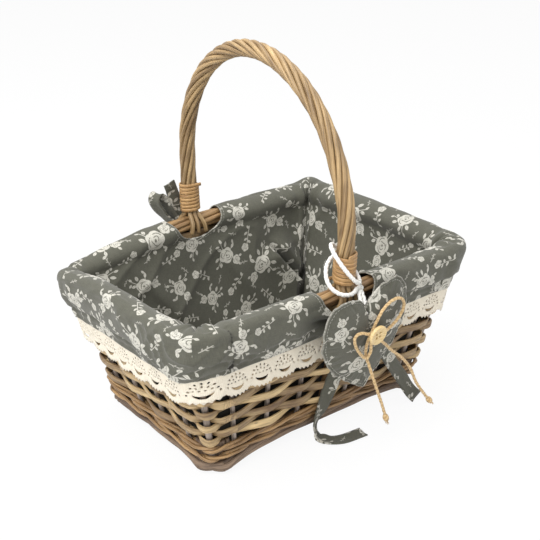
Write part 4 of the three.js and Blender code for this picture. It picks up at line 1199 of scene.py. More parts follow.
def inner_wrinkle(point, side, u, v, width):
    """Inside: a valley down each corner, loose drape, and slanting folds across the back panel."""
    x, y, z = point
    seam = width / 2 - abs(u)
    soft = ripple(0.0018, x * 17, y * 17, z * 13) * ease(-v / 0.01 + 0.3)
    valley = 0.003 * bump_at(seam, 0.012, 0.009) - 0.0022 * math.exp(-seam / 0.002)
    gathers = 0.002 * math.sin(seam * 430) * bump_at(seam, 0.008, 0.022) * bump_at(v, -0.016, 0.014)
    drape = ripple(0.0032, x * 21, y * 21, z * 9 + side * 5.0) + 0.0014
    fold = 1 - abs(ripple(1, x * 13 - z * 9, y * 13 + z * 8, 7.0))
    lift = drape + 0.003 * fold ** 8
    if side == 2:
        off, share = beside_line(x, z, *SHARP_FOLD)
        ridge = SHARP_RISE * bump_at(off, 0, SHARP_WIDTH) - SHARP_FALL * bump_at(off, 0, SHARP_CREASE)
        lift += ridge * ease(4 * share) * ease(4.4 - 4 * share)
        for start, end, height in SOFT_FOLDS:
            off, share = beside_line(x, z, start, end)
            lift += height * bump_at(off, 0, 0.016 if off > 0 else 0.005) * bump_at(share, 0.5, 0.5)
    return soft + gathers + valley * ease(-v / 0.014) + lift * ease(-v / 0.035) * ease(seam / 0.009)


INSIDE_ROWS, OUTSIDE_ROWS = 78, 54
PRINT_SHIFTS = ((0.024, 0.005), (0.221, 0.017), (0.407, 0.009), (0.655, 0.026))
STITCH_ANGLE = 11
UNSTITCHED = (1, 1, 1)


def notch_size(across, up):
    """1 on the edge of the notch round a leg of the handle, and less inside it."""
    return math.hypot(across / NOTCH_HALF[0], up / NOTCH_HALF[1])


def cut_openings(sides, u, v):
    """Marks the cells of the notches and slits, and moves the points beside them onto their edges."""
    count, rows = u.shape
    gone = np.zeros((count, rows - 1), bool)
    for c in range(count):
        after = (c + 1) % count
        if sides[c] % 2 or sides[after] != sides[c]:
            continue
        for r in range(rows - 1):
            across, up = (u[c, r] + u[after, r]) / 2, (v[c, r] + v[c, r + 1]) / 2
            gone[c, r] = notch_size(across, up) < 1 or (up > 0 and abs(across) < SLIT_HALF)
    for c in range(count):
        for r in range(rows):
            around = [gone[a, b] for a in (c - 1, c) for b in (r - 1, r) if 0 <= b < rows - 1]
            if all(around) or not any(around):
                continue
            size = notch_size(u[c, r], v[c, r])
            if v[c, r] > 0 and abs(u[c, r]) < 2 * SLIT_HALF and size > 0.9:
                u[c, r] = math.copysign(SLIT_HALF, u[c, r])
            elif size > 0:
                u[c, r], v[c, r] = u[c, r] / size, v[c, r] / size
    return gone


def liner_points(columns, profiles, u, v):
    """The lining's points with their folds, and their distances from stitches and seam."""
    points, stitch = np.zeros((*u.shape, 3)), np.ones((*u.shape, 3))
    every = list(np.ndindex(u.shape))
    for c, r in every:
        side, across, place = columns[c]
        along, section = profiles[c]
        out, z = (np.interp(v[c, r], along, section[:, k]) for k in range(2))
        shift = (u[c, r] - across) / segment_length(2 * side, PANEL_LEVEL)
        points[c, r] = on_wall(place + shift, z, out)
        if side % 2 == 0:
            angle = math.atan2(v[c, r], u[c, r])
            stitch[c, r, :2] = (notch_size(u[c, r], v[c, r]) - 1) * NOTCH_HALF[0], angle * STITCH_ANGLE
        if side == 0 and v[c, r] > 0.004:
            stitch[c, r, 2] = u[c, r] + SEAM_X
    normals = unit(np.cross(np.roll(points, -1, 0) - np.roll(points, 1, 0), np.gradient(points, axis=1)))
    widths = [panel_width(side) for side in range(4)]
    for c, r in every:
        side = columns[c][0]
        if v[c, r] > 0:
            hem = profiles[c][0][HEM_INDEX]
            lift = cuff_wrinkle(points[c, r], side, u[c, r], v[c, r], widths[side], hem)
        else:
            lift = inner_wrinkle(points[c, r], side, u[c, r], v[c, r], widths[side])
        points[c, r] -= normals[c, r] * lift
    return points, stitch


def liner():
    """One lining: inner walls, rolled rim and cuff round the basket, with floor, notches and slits."""
    columns = cloth_columns()
    sides = [side for side, _, _ in columns]
    profiles = [liner_profile(place) for _, _, place in columns]
    count, rows = len(columns), INSIDE_ROWS + OUTSIDE_ROWS + 1
    u = np.repeat(np.array([across for _, across, _ in columns])[:, None], rows, 1)
    v = np.array([np.concatenate([np.linspace(along[0], 0, INSIDE_ROWS + 1)[:-1],
                                  np.linspace(0, along[-1], OUTSIDE_ROWS + 1)]) for along, _ in profiles])
    gone = cut_openings(sides, u, v)
    points, stitch = liner_points(columns, profiles, u, v)
    verts = [tuple(p) for p in points.reshape(-1, 3)]
    faces, flats = [], []
    for c, r in np.argwhere(~gone).tolist():
        after, side = (c + 1) % count, sides[c]
        corners = ((c, r), (after, r), (after, r + 1), (c, r + 1))
        faces.append(tuple(a * rows + b for a, b in corners))
        for a, b in corners:
            across = u[a, b] if sides[a] == side else panel_width(side) / 2
            flats.append((across + PRINT_SHIFTS[side][0], v[a, b] + PRINT_SHIFTS[side][1]))
    add_liner_floor(points[:, 0], rows, verts, faces, flats)
    marks = np.ones((len(verts), 3))
    marks[:count * rows] = stitch.reshape(-1, 3)
    mesh = flat_mesh("liner", verts, faces, flats, marks)
    with editing(mesh) as edit:
        loose = [vert for vert in edit.verts if not vert.link_faces]
        bmesh.ops.delete(edit, geom=loose, context="VERTS")
    names = ["liner_floor"] + [f"liner_{side}_panel" for side in SIDES]
    piece = place_piece("printed_liner", mesh, PRINTED, "basket", names)
    top = max(mesh.polygons, key=lambda face: face.center.z)
    if top.normal.z < 0:
        mesh.flip_normals()
    # The reverse side takes the plain cloth painted dark as the shade between the weavers
    mesh.materials.append(REVERSE_PAINTED_SHADE)
    thicken(piece, CLOTH, -1, 1)
    flat = tuple(2 * PANEL_DEPTH + 2 * half_at(axis, FLOOR_Z) for axis in range(2))


FLOOR_STEP = 0.006
FLOOR_CORNER, FLOOR_ROUND = 0.022, 0.018
FLOOR_PRINT = (0.9, 0.3)


def add_liner_floor(ring, rows, verts, faces, flats):
    """A floor inside the lowest ring of the walls, with a little unevenness."""
    count = len(ring)
    outline = [Vector((p[0], p[1])) for p in ring]
    reach = Vector((max(p.x for p in outline), max(p.y for p in outline)))
    inner = []
    for i in range(int(2 * reach.x / FLOOR_STEP)):
        for j in range(int(2 * reach.y / FLOOR_STEP)):
            spot = Vector((-reach.x + (i + 0.5) * FLOOR_STEP, -reach.y + (j + 0.5) * FLOOR_STEP))
            corner = [max(abs(spot[k]) - reach[k] + FLOOR_CORNER, 0) for k in range(2)]
            if math.hypot(*corner) < FLOOR_ROUND:
                inner.append(spot)
    edges = [(i, (i + 1) % count) for i in range(count)]
    found = geometry.delaunay_2d_cdt(outline + inner, edges, [], 1, MERGE)
    index = []
    for spot, source in zip(found[0], found[3]):
        if source and source[0] < count:
            index.append(source[0] * rows)
        else:
            index.append(len(verts))
            height = 0.0012 * (ripple(1, spot.x * 25, spot.y * 25, 1.0) + 0.4)
            verts.append((spot.x, spot.y, FLOOR_Z + height))
    for face in found[2]:
        faces.append(tuple(index[i] for i in face))
        flats.extend((found[0][i].x + FLOOR_PRINT[0], found[0][i].y + FLOOR_PRINT[1]) for i in face)


# Lace

LACE_TEETH = 6
LACE_STEP = 0.0022
FAN_Y = LACE_OVERLAP + 0.0125
FAN_ROWS = ((0.0094, 7, 0.0017, 0.0023), (0.006, 5, 0.0015, 0.002), (0.0026, 2, 0.0014, 0.0018))
CRESCENT_REACH = 0.0068
CRESCENT_EDGES = ((0.0012, 0.0056, 1), (0.001, 0.0026, -1))
SIDE_HOLE_X = 0.0026
LACE_JOIN = 2e-5


def lace_hole(x, y, width, height, turn=0.0, sides=8):
    """The outline of an oval hole."""
    points = []
    c, s = math.cos(turn), math.sin(turn)
    for i in range(sides):
        angle = math.tau * i / sides
        a, b = width / 2 * math.cos(angle), height / 2 * math.sin(angle)
        points.append((x + a * c - b * s, y + a * s + b * c))
    return points


def lace_repeat():
    """One repeat of the lace, flat: a scalloped, toothed edge, a crescent and a fan of holes."""
    long, deep = LACE_REPEAT, LACE_DROP + LACE_OVERLAP
    edge = []
    for share in np.linspace(0, 1, LACE_TEETH * 4 + 1).tolist():
        scallop = abs(math.sin(math.pi * share)) ** 0.5
        tooth = 0.5 + 0.5 * math.cos(math.tau * LACE_TEETH * (share - 0.5))
        rise = 0.0044 * (1 - scallop) + 0.0024 * (1 - tooth) * (0.4 + 0.6 * scallop)
        edge.append((long * share, deep - rise))
    levels = np.linspace(0, edge[0][1], 13)[1:-1]
    outline = [(long * i / 10, 0.0) for i in range(11)]
    outline += [(long, y) for y in levels] + edge[::-1] + [(0.0, y) for y in levels[::-1]]
    holes = []
    for radius, number, width, height in FAN_ROWS:
        for i in range(number):
            angle = math.pi * (i + 0.5) / number
            x, y = long / 2 - radius * math.cos(angle), FAN_Y - 0.95 * radius * math.sin(angle)
            holes.append(lace_hole(x, y, width, height, angle - math.pi / 2))
    crescent = []
    for low, drop, order in CRESCENT_EDGES:
        for i in range(11)[::order]:
            angle = math.pi * (i + 0.3) / 10.6
            x, y = long / 2 - CRESCENT_REACH * math.cos(angle), FAN_Y + low + drop * math.sin(angle)
            crescent.append((x, y))
    holes.append(crescent)
    for x in (SIDE_HOLE_X, long - SIDE_HOLE_X):
        holes.append(lace_hole(x, FAN_Y + 0.0012, 0.0016, 0.0024))
    return outline, holes


def inside(point, polygon):
    found = False
    for (x0, y0), (x1, y1) in zip(polygon, polygon[1:] + polygon[:1]):
        if (y0 > point[1]) != (y1 > point[1]) and point[0] < (x1 - x0) * (point[1] - y0) / (y1 - y0) + x0:
            found = not found
    return found


def flat_lace():
    """The repeat's points and triangles."""
    outline, holes = lace_repeat()
    points, edges = [], []
    for loop in [outline] + holes:
        start = len(points)
        points += loop
        edges += [(start + i, start + (i + 1) % len(loop)) for i in range(len(loop))]
    for i in range(1, int(LACE_REPEAT / LACE_STEP)):
        for j in range(1, int((LACE_DROP + LACE_OVERLAP) / LACE_STEP)):
            spot = (i * LACE_STEP, j * LACE_STEP)
            if inside(spot, outline) and not any(inside(spot, hole) for hole in holes):
                points.append(spot)
    found = geometry.delaunay_2d_cdt([Vector(p) for p in points], edges, [], 1, MERGE)
    flat = [(p.x, p.y) for p in found[0]]
    kept = []
    for face in found[2]:
        centre = tuple(sum(flat[i][k] for i in face) / 3 for k in range(2))
        if not any(inside(centre, hole) for hole in holes):
            kept.append(tuple(face))
    return flat, kept


def lace_band(name, start, end):
    """The lace along half the hem, from slit to slit, hanging clear of the wall and a little wavy."""
    whole = distance_along(start, end, LACE_LEVEL) - 2 * SLIT_HALF
    repeats = round(whole / LACE_REPEAT)
    stretch = whole / (repeats * LACE_REPEAT)
    flat, triangles = flat_lace()
    verts, faces, flats = [], [], []
    for repeat in range(repeats):
        base = len(verts)
        for x, y in flat:
            along = (repeat * LACE_REPEAT + x) * stretch
            place = place_along(start, SLIT_HALF + along, LACE_LEVEL)
            drop = max(y - LACE_OVERLAP, 0.0)
            wave = ripple(0.0022, along * 30, start * 3, 0.0)
            wave += 0.0005 * math.sin(along * math.tau / LACE_REPEAT)
            out = hem_out(place) - 0.0015 - 0.6 * max(LACE_OVERLAP - y, 0.0)
            out += (drop / LACE_DROP) * (0.002 + 0.0035 * slack_at(place) + wave)
            verts.append(on_wall(place, hem_at(place) + LACE_OVERLAP - y, out))
        for face in triangles:
            faces.append(tuple(base + i for i in face))
            flats.extend((repeat * LACE_REPEAT + flat[i][0], flat[i][1]) for i in face)
    mesh = flat_mesh(name, verts, faces, flats)
    with editing(mesh) as edit:
        bmesh.ops.remove_doubles(edit, verts=edit.verts, dist=LACE_JOIN)
    piece = place_piece(f"{name}_band", mesh, LACE, "basket", [name])
    thicken(piece, LACE_THREAD)


# Ties: routes in millimetres, across, out from the stakes and up

ACROSS, OUTWARD = (1.0, 0.0, 0.0), (0.0, 1.0, 0.0)
RIGHT_TURN, LOOP_ACROSS = (0.8, 0.0, 0.6), (-0.37, 0.93, 0.0)
FRONT, BACK = -1, 1
FRONT_LEFT_TURNS = (
    *[(0.85, -0.5, 0.0)] * 5, (0.9, -0.1, 0.0), (0.75, 0.45, 0.0), (0.6, 0.75, 0.0), (0.6, 0.75, 0.1),
    (0.5, 0.85, 0.0), (0.2, 1.0, 0.0), OUTWARD,
)
FRONT_LEFT = (
    (-2, 12.6, 129.6), (2, 13.5, 112), (5, 14, 92), (3, 10, 70), (-1, 9, 50), (-5, 9, 32), (-12, 10, 14),
    (-13, 15, 4.3), (-12, 21, 2.3), (-8, 29, 2.1), (3, 35, 2.1), (26, 38, 2.1),
)
FRONT_RIGHT = (
    (6.8, 15.9, 133.2), (28, 16, 110), (50, 16, 84), (70, 16, 58), (88, 18, 34), (101, 23, 14), (108, 28, 5),
)
BACK_UPPER = ((2, 14, 143.5), (-3, 14, 157), (-9.5, 14, 174), (-15, 14, 191))
BACK_LOWER = ((0, 14.5, 129.6), (-2, 15, 110), (-3, 14, 88), (-2, 10, 68), (0, 9, 52))
UPPER_LOOP = (
    (-3, 17, 137), (-17, 17, 151), (-27, 17, 163), (-31.5, 17, 174), (-27, 17, 180.5), (-21.5, 17, 177),
    (-17, 17.5, 166), (-4, 17, 141),
)
LOWER_LOOP = (
    (3, 17, 137), (20, 17, 137), (36, 17.5, 128), (42, 18, 112), (33, 18, 103), (25, 18, 111), (16, 18, 122),
    (4, 17, 132),
)
BACK_KNOT = (0, 0.0136, 0.136)
BACK_KNOT_HALF = Vector((0.007, 0.004, 0.006))
TIE_STEPS, TIE_COLUMNS = 60, 7
KNOT_ROWS, KNOT_COLUMNS = 14, 28
KNOT_PRINT = (0.3, 0.77)


def before_side(side, x, out, z):
    """A point outside the front or back wall, as far out from the stakes as given."""
    return x, side * (half_at(1, z) + out), z


def tie_strip(name, route, directions, nodes):
    """A folded strip of the print along a route, a little cupped."""
    path = spline(route, TIE_STEPS)
    at = passed(np.asarray(route))
    shares = np.linspace(0, at[-1], TIE_STEPS)
    turning = np.stack([np.interp(shares, at, np.asarray(directions)[:, k]) for k in range(3)], axis=1)
    tangents = unit(np.gradient(path, axis=0))
    across = unit(turning - tangents * (turning * tangents).sum(1, keepdims=True))
    off = np.cross(across, tangents)
    long = length_of(path)
    verts, faces, flats = [], [], []
    for i in range(TIE_STEPS):
        for share in np.linspace(-1, 1, TIE_COLUMNS):
            cup = 0.0009 * (1 - share**2) + ripple(0.0008, i * 0.16, share, len(name))
            verts.append(tuple(path[i] + across[i] * share * TIE_WIDTH / 2 + off[i] * cup))
    for cell in cells(TIE_STEPS, TIE_COLUMNS):
        faces.append(tuple(i * TIE_COLUMNS + j for i, j in cell))
        for i, j in cell:
            flats.append((i / (TIE_STEPS - 1) * long + 0.11 * len(name),
                          j / (TIE_COLUMNS - 1) * TIE_WIDTH + 0.071 * len(name)))
    mesh = flat_mesh(name, verts, faces, flats, UNSTITCHED)
    piece = place_piece(name, mesh, PRINTED, "basket", nodes)
    thicken(piece, TIE_CLOTH)


def tie_knot(name, box, nodes):
    """A pulled knot: a strip wrapped round itself, creased towards the middle."""
    low, high = box
    centre, half = (low + high) / 2, (high - low) / 2
    verts, faces, flats = [], [], []
    for i in range(KNOT_ROWS + 1):
        up = math.pi * (i + 0.02) / (KNOT_ROWS + 0.04)
        for j in range(KNOT_COLUMNS):
            turn = math.tau * j / KNOT_COLUMNS
            c, s = math.cos(turn), math.sin(turn)
            crease = 1 + 0.12 * math.sin(5 * up + 2 * s) + ripple(0.07, c * 2, s * 2, up * 2)
            spot = Vector((math.sin(up) * c * half.x, math.sin(up) * s * half.y, math.cos(up) * half.z))
            verts.append(tuple(centre + spot * crease))
    for cell in cells(KNOT_ROWS + 1, KNOT_COLUMNS, True):
        faces.append(tuple(i * KNOT_COLUMNS + j % KNOT_COLUMNS for i, j in cell))
        flats.extend((j * 0.0012 + KNOT_PRINT[0], i * 0.0011 + KNOT_PRINT[1]) for i, j in cell)
    for ring, order in ((0, 1), (KNOT_ROWS, -1)):
        faces.append(tuple(ring * KNOT_COLUMNS + j for j in range(KNOT_COLUMNS))[::order])
        flats.extend([KNOT_PRINT] * KNOT_COLUMNS)
    mesh = flat_mesh(name, verts, faces, flats, UNSTITCHED)
    place_piece(name, mesh, PRINTED, "basket", nodes)


def leg_at(z):
    """How far the back leg of the handle stands from the middle at a height."""
    return float(np.interp(z, HANDLE[:len(HANDLE) // 2, 1], HANDLE[:len(HANDLE) // 2, 0]))


def ties():
    """The tie behind the heart, and the bow with its tails at the back."""
    def beside_wall(side, route):
        return [before_side(side, *point) for point in in_metres(route)]

    tie_strip("tie_front_left", beside_wall(FRONT, FRONT_LEFT), FRONT_LEFT_TURNS, ["front_tie_left_tail"])
    tie_strip("tie_front_right", beside_wall(FRONT, FRONT_RIGHT), [RIGHT_TURN] * 7, ["front_tie_right_tail"])
    standing = [(x, leg_at(z) + out, z) for x, out, z in in_metres(BACK_UPPER)]
    tie_strip("tie_back_upper", standing, [ACROSS] * 4, ["back_tie_upper_tail"])
    tie_strip("tie_back_lower", beside_wall(BACK, BACK_LOWER), [ACROSS] * 5, ["back_tie_lower_tail"])
    tie_strip("tie_back_upper_loop", beside_wall(BACK, UPPER_LOOP), [LOOP_ACROSS] * 8, ["back_tie_bow"])
    tie_strip("tie_back_lower_loop", beside_wall(BACK, LOWER_LOOP), [OUTWARD] * 8, ["back_tie_bow"])
    tie_knot("tie_front_knot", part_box("front_tie_knot"), ["front_tie_knot"])
    centre = Vector(before_side(BACK, *BACK_KNOT))
    tie_knot("tie_back_knot", (centre - BACK_KNOT_HALF, centre + BACK_KNOT_HALF), ["back_tie_bow"])


# Heart: its own frame starts at the cleft, with x across, y into the basket and z up

HEART_WIDTH, HEART_LOBE, HEART_DROP = 0.098, 0.021, 0.094
HEART_SHOULDER, HEART_MIDDLE = 0.018, -0.028
HEART_THICKNESS = 0.016
HEART_LEAN = Matrix.Rotation(math.radians(11), 4, "X")
HEART_ROLL = Matrix.Rotation(math.radians(-10), 4, "Y")
HEART_CLEFT = Vector(before_side(FRONT, 0.003, 0.0295, 0.145))
HEART_STEPS = 260
HEART_RINGS = (*np.linspace(0.04, 0.88, 26), 0.905, 0.925, 0.95, 0.975, 1.0)
HEART_SEWN = 0.915
HEART_EDGE = 0.047
HEART_STITCH = 0.0034
HEART_PRINT = (1.31, 0.2)
CHARM = Matrix.Translation(HEART_CLEFT) @ HEART_LEAN @ HEART_ROLL
BUTTON_MIDDLE = CHARM.inverted() @ ((BUTTON_LOW + BUTTON_HIGH) / 2)
DIMPLE = 0.0022


def bezier(a, b, c, d, count):
    t = np.linspace(0, 1, count, endpoint=False)[:, None]
    a, b, c, d = (np.asarray(p, float) for p in (a, b, c, d))
    return a * (1 - t)**3 + 3 * b * t * (1 - t)**2 + 3 * c * t**2 * (1 - t) + d * t**3


def heart_outline():
    half, lobe, drop, shoulder = HEART_WIDTH / 2, HEART_LOBE, HEART_DROP, (HEART_WIDTH / 2, -HEART_SHOULDER)
    right = np.vstack([
        bezier((0, 0), (half * 0.06, lobe * 0.7), (half * 0.3, lobe), (half * 0.6, lobe), 40),
        bezier((half * 0.6, lobe), (half * 0.86, lobe), (half, lobe * 0.4), shoulder, 40),
        bezier(shoulder, (half, -drop * 0.5), (half * 0.44, -drop * 0.79), (0, -drop), 60),
    ])
    left = right[1:][::-1] * (-1, 1)
    whole = np.vstack([right, [(0, -drop)], left, [(0, 0)]])
    return evenly(whole, HEART_STEPS, False), passed(whole)[-1]


def heart_point(x, z, share, face):
    """A point of the heart's front or back, that share of the way out to a point of its outline."""
    px, pz = x * share, HEART_MIDDLE + (z - HEART_MIDDLE) * share
    puff = max(0.0, 1 - (share / HEART_SEWN) ** 2.2) ** 0.62 if share < HEART_SEWN else 0.0
    pucker = ripple(0.0018, x * 230, z * 230, face * 2.0) * bump_at(share, 0.84, 0.09)
    stray = 1 + ripple(0.03, x * 190, z * 190, 9.0) * ease((share - HEART_SEWN) / 0.085)
    ruffle = ripple(0.0014, x * 150, z * 150, 4.0) * ease((share - HEART_SEWN) / 0.08)
    soft = ripple(0.0016, px * 48, pz * 48, face * 3.0) * puff
    across, up = px - BUTTON_MIDDLE.x, pz - BUTTON_MIDDLE.z
    pulls = 1 + 0.4 * math.sin(5 * math.atan2(up, across))
    dimple = DIMPLE * pulls * bump_at(math.hypot(across, up), 0, 0.014) if face < 0 else 0.0
    depth = face * (0.0007 + (HEART_THICKNESS / 2 - 0.0008) * puff + pucker + soft - dimple) + ruffle
    return px * stray, depth, HEART_MIDDLE + (pz - HEART_MIDDLE) * stray


def padded_heart():
    """Two layers of cloth sewn inside the edge, puffed between, with puckers along the stitching."""
    outline, girth = heart_outline()
    count, rings = HEART_STEPS, len(HEART_RINGS)
    verts, marks = [], []
    for face in (-1, 1):
        for share in HEART_RINGS:
            verts += [heart_point(x, z, share, face) for x, z in outline]
            marks += [((1 - share) * HEART_EDGE, i / count * girth / HEART_STITCH, 1.0) for i in range(count)]
    faces, flats = [], []

    def add(face, side):
        faces.append(face)
        flats.extend((verts[q][0] + HEART_PRINT[0] + side, verts[q][2] + HEART_PRINT[1]) for q in face)

    back, edge = rings * count, (rings - 1) * count
    for side in range(2):
        for cell in cells(rings, count, True):
            add(tuple(side * back + r * count + i % count for r, i in cell), side)
        add(tuple(side * back + i for i in range(count)), side)
    for i in range(count):
        k = (i + 1) % count
        add((edge + i, edge + k, back + edge + k, back + edge + i), 0)
    mesh = flat_mesh("padded_heart", [tuple(CHARM @ Vector(v)) for v in verts], faces, flats, marks)
    piece = place_piece("padded_heart", mesh, PRINTED, "charm", ["heart_pad"])


BUTTON_PROFILE = (
    (0.0, 0.0), (0.0082, 0.0), (0.0091, 0.0003), (0.0095, 0.0011), (0.0095, 0.0024), (0.0092, 0.0031),
    (0.0086, 0.0035), (0.008, 0.0035), (0.0074, 0.0031), (0.0068, 0.0026), (0.0055, 0.0024), (0.0, 0.0024),
)
BUTTON_SIDES = 72
BUTTON_BACK = Vector((0, 0.0018, 0))
HOLE_OFF, HOLE_RADIUS, HOLE_DEPTH, HOLE_Z = 0.0021, 0.00125, 0.01, 0.0012


def turned_disc():
    """The button's outside, turned round Z."""
    verts, rings, faces = [], [], []
    for radius, height in BUTTON_PROFILE:
        turns = [math.tau * i / BUTTON_SIDES for i in range(BUTTON_SIDES if radius else 1)]
        rings.append(range(len(verts), len(verts) + len(turns)))
        verts += [(radius * math.cos(turn), radius * math.sin(turn), height) for turn in turns]
    for low, high in zip(rings, rings[1:]):
        for i in range(BUTTON_SIDES):
            k = (i + 1) % BUTTON_SIDES
            ring = [low[i % len(low)], low[k % len(low)], high[k % len(high)], high[i % len(high)]]
            faces.append(list(dict.fromkeys(ring)))
    mesh = bpy.data.meshes.new("turned_disc")
    mesh.from_pydata(verts, [], faces)
    with editing(mesh) as edit:
        bmesh.ops.recalc_face_normals(edit, faces=edit.faces)
    return mesh


def heart_button():
    """A turned button: a raised rim, a dished face and four holes."""
    drilled = add_object("turned_disc", turned_disc())
    cutter = add_object("drill", bpy.data.meshes.new("drill"))
    with editing(cutter.data) as edit:
        for x, y in ((-1, -1), (1, -1), (1, 1), (-1, 1)):
            spot = Matrix.Translation((x * HOLE_OFF, y * HOLE_OFF, HOLE_Z))
            bmesh.ops.create_cone(edit, cap_ends=True, segments=16, radius1=HOLE_RADIUS, radius2=HOLE_RADIUS,
                                  depth=HOLE_DEPTH, matrix=spot)
    drilled.modifiers.new("holes", "BOOLEAN").object = cutter
    bpy.context.view_layer.update()
    mesh = bpy.data.meshes.new_from_object(drilled.evaluated_get(bpy.context.evaluated_depsgraph_get()))
    bpy.data.objects.remove(drilled)
    bpy.data.objects.remove(cutter)
    lay_flat(mesh, lambda spot: (spot.x, spot.y + 0.3 * spot.z))
    place = CHARM @ Matrix.Translation(BUTTON_MIDDLE + BUTTON_BACK) @ Matrix.Rotation(math.pi / 2, 4, "X")
    mesh.transform(place)
    mesh.name = "turned_button"
    place_piece("turned_button", mesh, BUTTON, "charm", ["heart_button"])


def lay_flat(mesh, place):
    """Gives each corner of a mesh its place on the flat material."""
    flat = mesh.uv_layers.new(name="flat")
    for loop in mesh.loops:
        flat.data[loop.index].uv = place(mesh.vertices[loop.vertex_index].co)


# Cords, their routes in millimetres

TWINE_LAYER, OVER = 9.8, 3.3
TWINE_ROUTE = [
    (5, 18.7, -115), (2, 15.6, -98.5), (-1.5, 12.8, -83), (-4.5, 8.5, -66), (-6, 3.5, -52), (-7, 0, -42),
    (-6.4, 0, -30), (-2, 0, -20), (4, 0, -9), (11, 0, 1), (21, 0, 5.5), (30.5, 0, 3.5), (36, 0, -4),
    (35.5, 0, -13), (29, 0, -21), (18.5, 1, -24.5), (10, OVER, -22), (0, OVER, -17.5), (-8, OVER, -14.5),
    (-15.5, 1, -11), (-21, 0, -14), (-19.5, 0, -25), (-14, 1.2, -37), (-9, OVER, -42.5), (-4.5, OVER, -37),
    (-4.5, OVER, -28), (-1.5, OVER, -24.5), (3, OVER, -26), (8, OVER, -32), (13, OVER, -38.5),
    (21, 4.6, -50), (32.5, 7, -64.5), (40.5, 10.6, -79.5), (46.5, 14, -98.5), (55, 18.3, -116.5),
    (61, 20, -127),
]
END_KNOT = (-0.005, -0.0015, 0.0015, 0.004)
END_STEPS = 18
HAIRS, HAIR_SPREAD, HAIR_RADIUS = 7, 0.0012, 0.00035


def plied(path, radius, lay):
    """A cord of plies laid round each other along a path."""
    shape = Shape()
    ups = carried_ups(path, CORD_UP)
    sides = np.cross(unit(np.gradient(path, axis=0)), ups)
    ply = radius * PLY_SHARE
    for k in range(PLIES):
        angle = passed(path) / lay * math.tau + math.tau * k / PLIES
        away = np.cos(angle)[:, None] * ups + np.sin(angle)[:, None] * sides
        shape.round_rod(path + away * (radius - ply), away, ply, 7, 0.5)
    return shape


def frayed_end(shape, end, inner):
    """A knot at an end of the twine, and the hairs that stand out beyond it."""
    way = unit(end - inner)
    line = spline([end + way * reach for reach in END_KNOT], END_STEPS)
    swell = [0.9 + 1.05 * math.sin(math.pi * i / (END_STEPS - 1)) ** 0.8 + 0.05 * math.sin(i * 1.9)
             for i in range(END_STEPS)]
    shape.round_rod(line, carried_ups(line, CORD_UP), TWINE_RADIUS, 12, 0.6, scales=swell)
    for hair in range(HAIRS):
        spread = np.array((math.cos(hair * 2.4), math.sin(hair * 1.7), 0.3 * math.sin(hair * 3.1)))
        spread *= HAIR_SPREAD
        tip = line[-1] + way * (0.0022 + 0.0003 * hair) + spread
        strand = spline([line[-3], line[-1] + spread * 0.4, tip], 6)
        shape.round_rod(strand, carried_ups(strand, CORD_UP), HAIR_RADIUS, 6, 0.6)


def twine_bow():
    """Twine tied in a bow on the heart, with a knot at each end."""
    route = in_metres((x, -TWINE_LAYER - off, z) for x, off, z in TWINE_ROUTE)
    path = spline([tuple(CHARM @ Vector(point)) for point in route], TWINE_STEPS)
    bow = plied(path, TWINE_RADIUS, TWINE_LAY)
    bow = bow.build("twine_bow_raffia", RAFFIA, "twine_raffia", ["twine_bow"], "charm")
    ends = Shape()
    frayed_end(ends, path[0], path[8])
    frayed_end(ends, path[-1], path[-9])
    knots = ends.build("twine_end_knots", RAFFIA, "twine_raffia", body="charm")


LOOP_RADIUS, LOOP_Z, LOOP_TILT = 0.013, 0.181, 0.017
LOOP_TURN, LOOP_OPENING = math.radians(45), math.radians(7)
SLACK_TURN = (
    (12.5, -106, 183), (2, -102, 184), (-9, -104, 179), (-16.5, -111, 171), (-18, -119, 164),
    (-14, -126, 159.5), (-7.5, -129.5, 157.8), (-0.5, -129.2, 157.6), (6.6, -126, 159.2),
)
KNOT_CORD = 0.0017
STRANDS_APART = Vector((0.0022, 0, 0))
STRAND_RADIUS = CORD_RADIUS * 0.95
STRAND_FOOT = Vector((0, 0.001, -0.002))


def tied_knot():
    """The cord's knot: a trefoil pulled tight."""
    turns = np.linspace(0, math.tau, 90, endpoint=False)
    trefoil = [(math.sin(t) + 2 * math.sin(2 * t), -math.sin(3 * t) * 1.1, math.cos(t) - 2 * math.cos(2 * t))
               for t in turns]
    line = np.array(KNOT) + np.array(trefoil) * (KNOT_RADIUS - 0.0016) / 3.1
    knot = Shape()
    knot.round_rod(line, unit(line - np.array(KNOT) + 1e-6), KNOT_CORD, 9, 0.5, True)
    return knot.build("cord_knot_cotton", COTTON, "cord_cotton", ["cord_knot"], "knot")


def cords():
    """White cord: a loop and a slack turn round the front leg, its knot, and two strands to the heart."""
    points = []
    for angle in np.linspace(LOOP_OPENING, math.tau - LOOP_OPENING, 24):
        turn = LOOP_TURN - math.pi / 2 + angle
        x, y = LOOP_RADIUS * math.cos(turn), LOOP_RADIUS * math.sin(turn) - HANDLE_HALF
        points.append((x, y, LOOP_Z - LOOP_TILT * math.cos(angle)))
    path = spline(points, LOOP_STEPS)
    loop = plied(path, CORD_RADIUS, CORD_LAY).build("cord_loop_cotton", COTTON, "cord_cotton", ["cord_loop"])
    tied = tied_knot()
    slack = spline(in_metres(SLACK_TURN), SLACK_STEPS)
    second = plied(slack, CORD_RADIUS, CORD_LAY).build("cord_second_turn", COTTON, "cord_cotton")
    foot = CHARM @ STRAND_FOOT
    down = (foot - KNOT).normalized()
    head = KNOT + down * (KNOT_RADIUS * 0.6)
    side, middle = STRANDS_APART, lerp(head, foot, 0.5)
    strand = [head - side * 0.6, middle - side, foot - side * 0.9, foot + down * 0.0022, foot + side * 0.9,
              middle + side, head + side * 0.6]
    path = spline([tuple(p) for p in strand], STRAND_STEPS)
    hang = plied(path, STRAND_RADIUS, CORD_LAY)
    piece = hang.build("hanging_cord_cotton", COTTON, "cord_cotton", ["hanging_cord"], "charm")


# Camera, light and floor

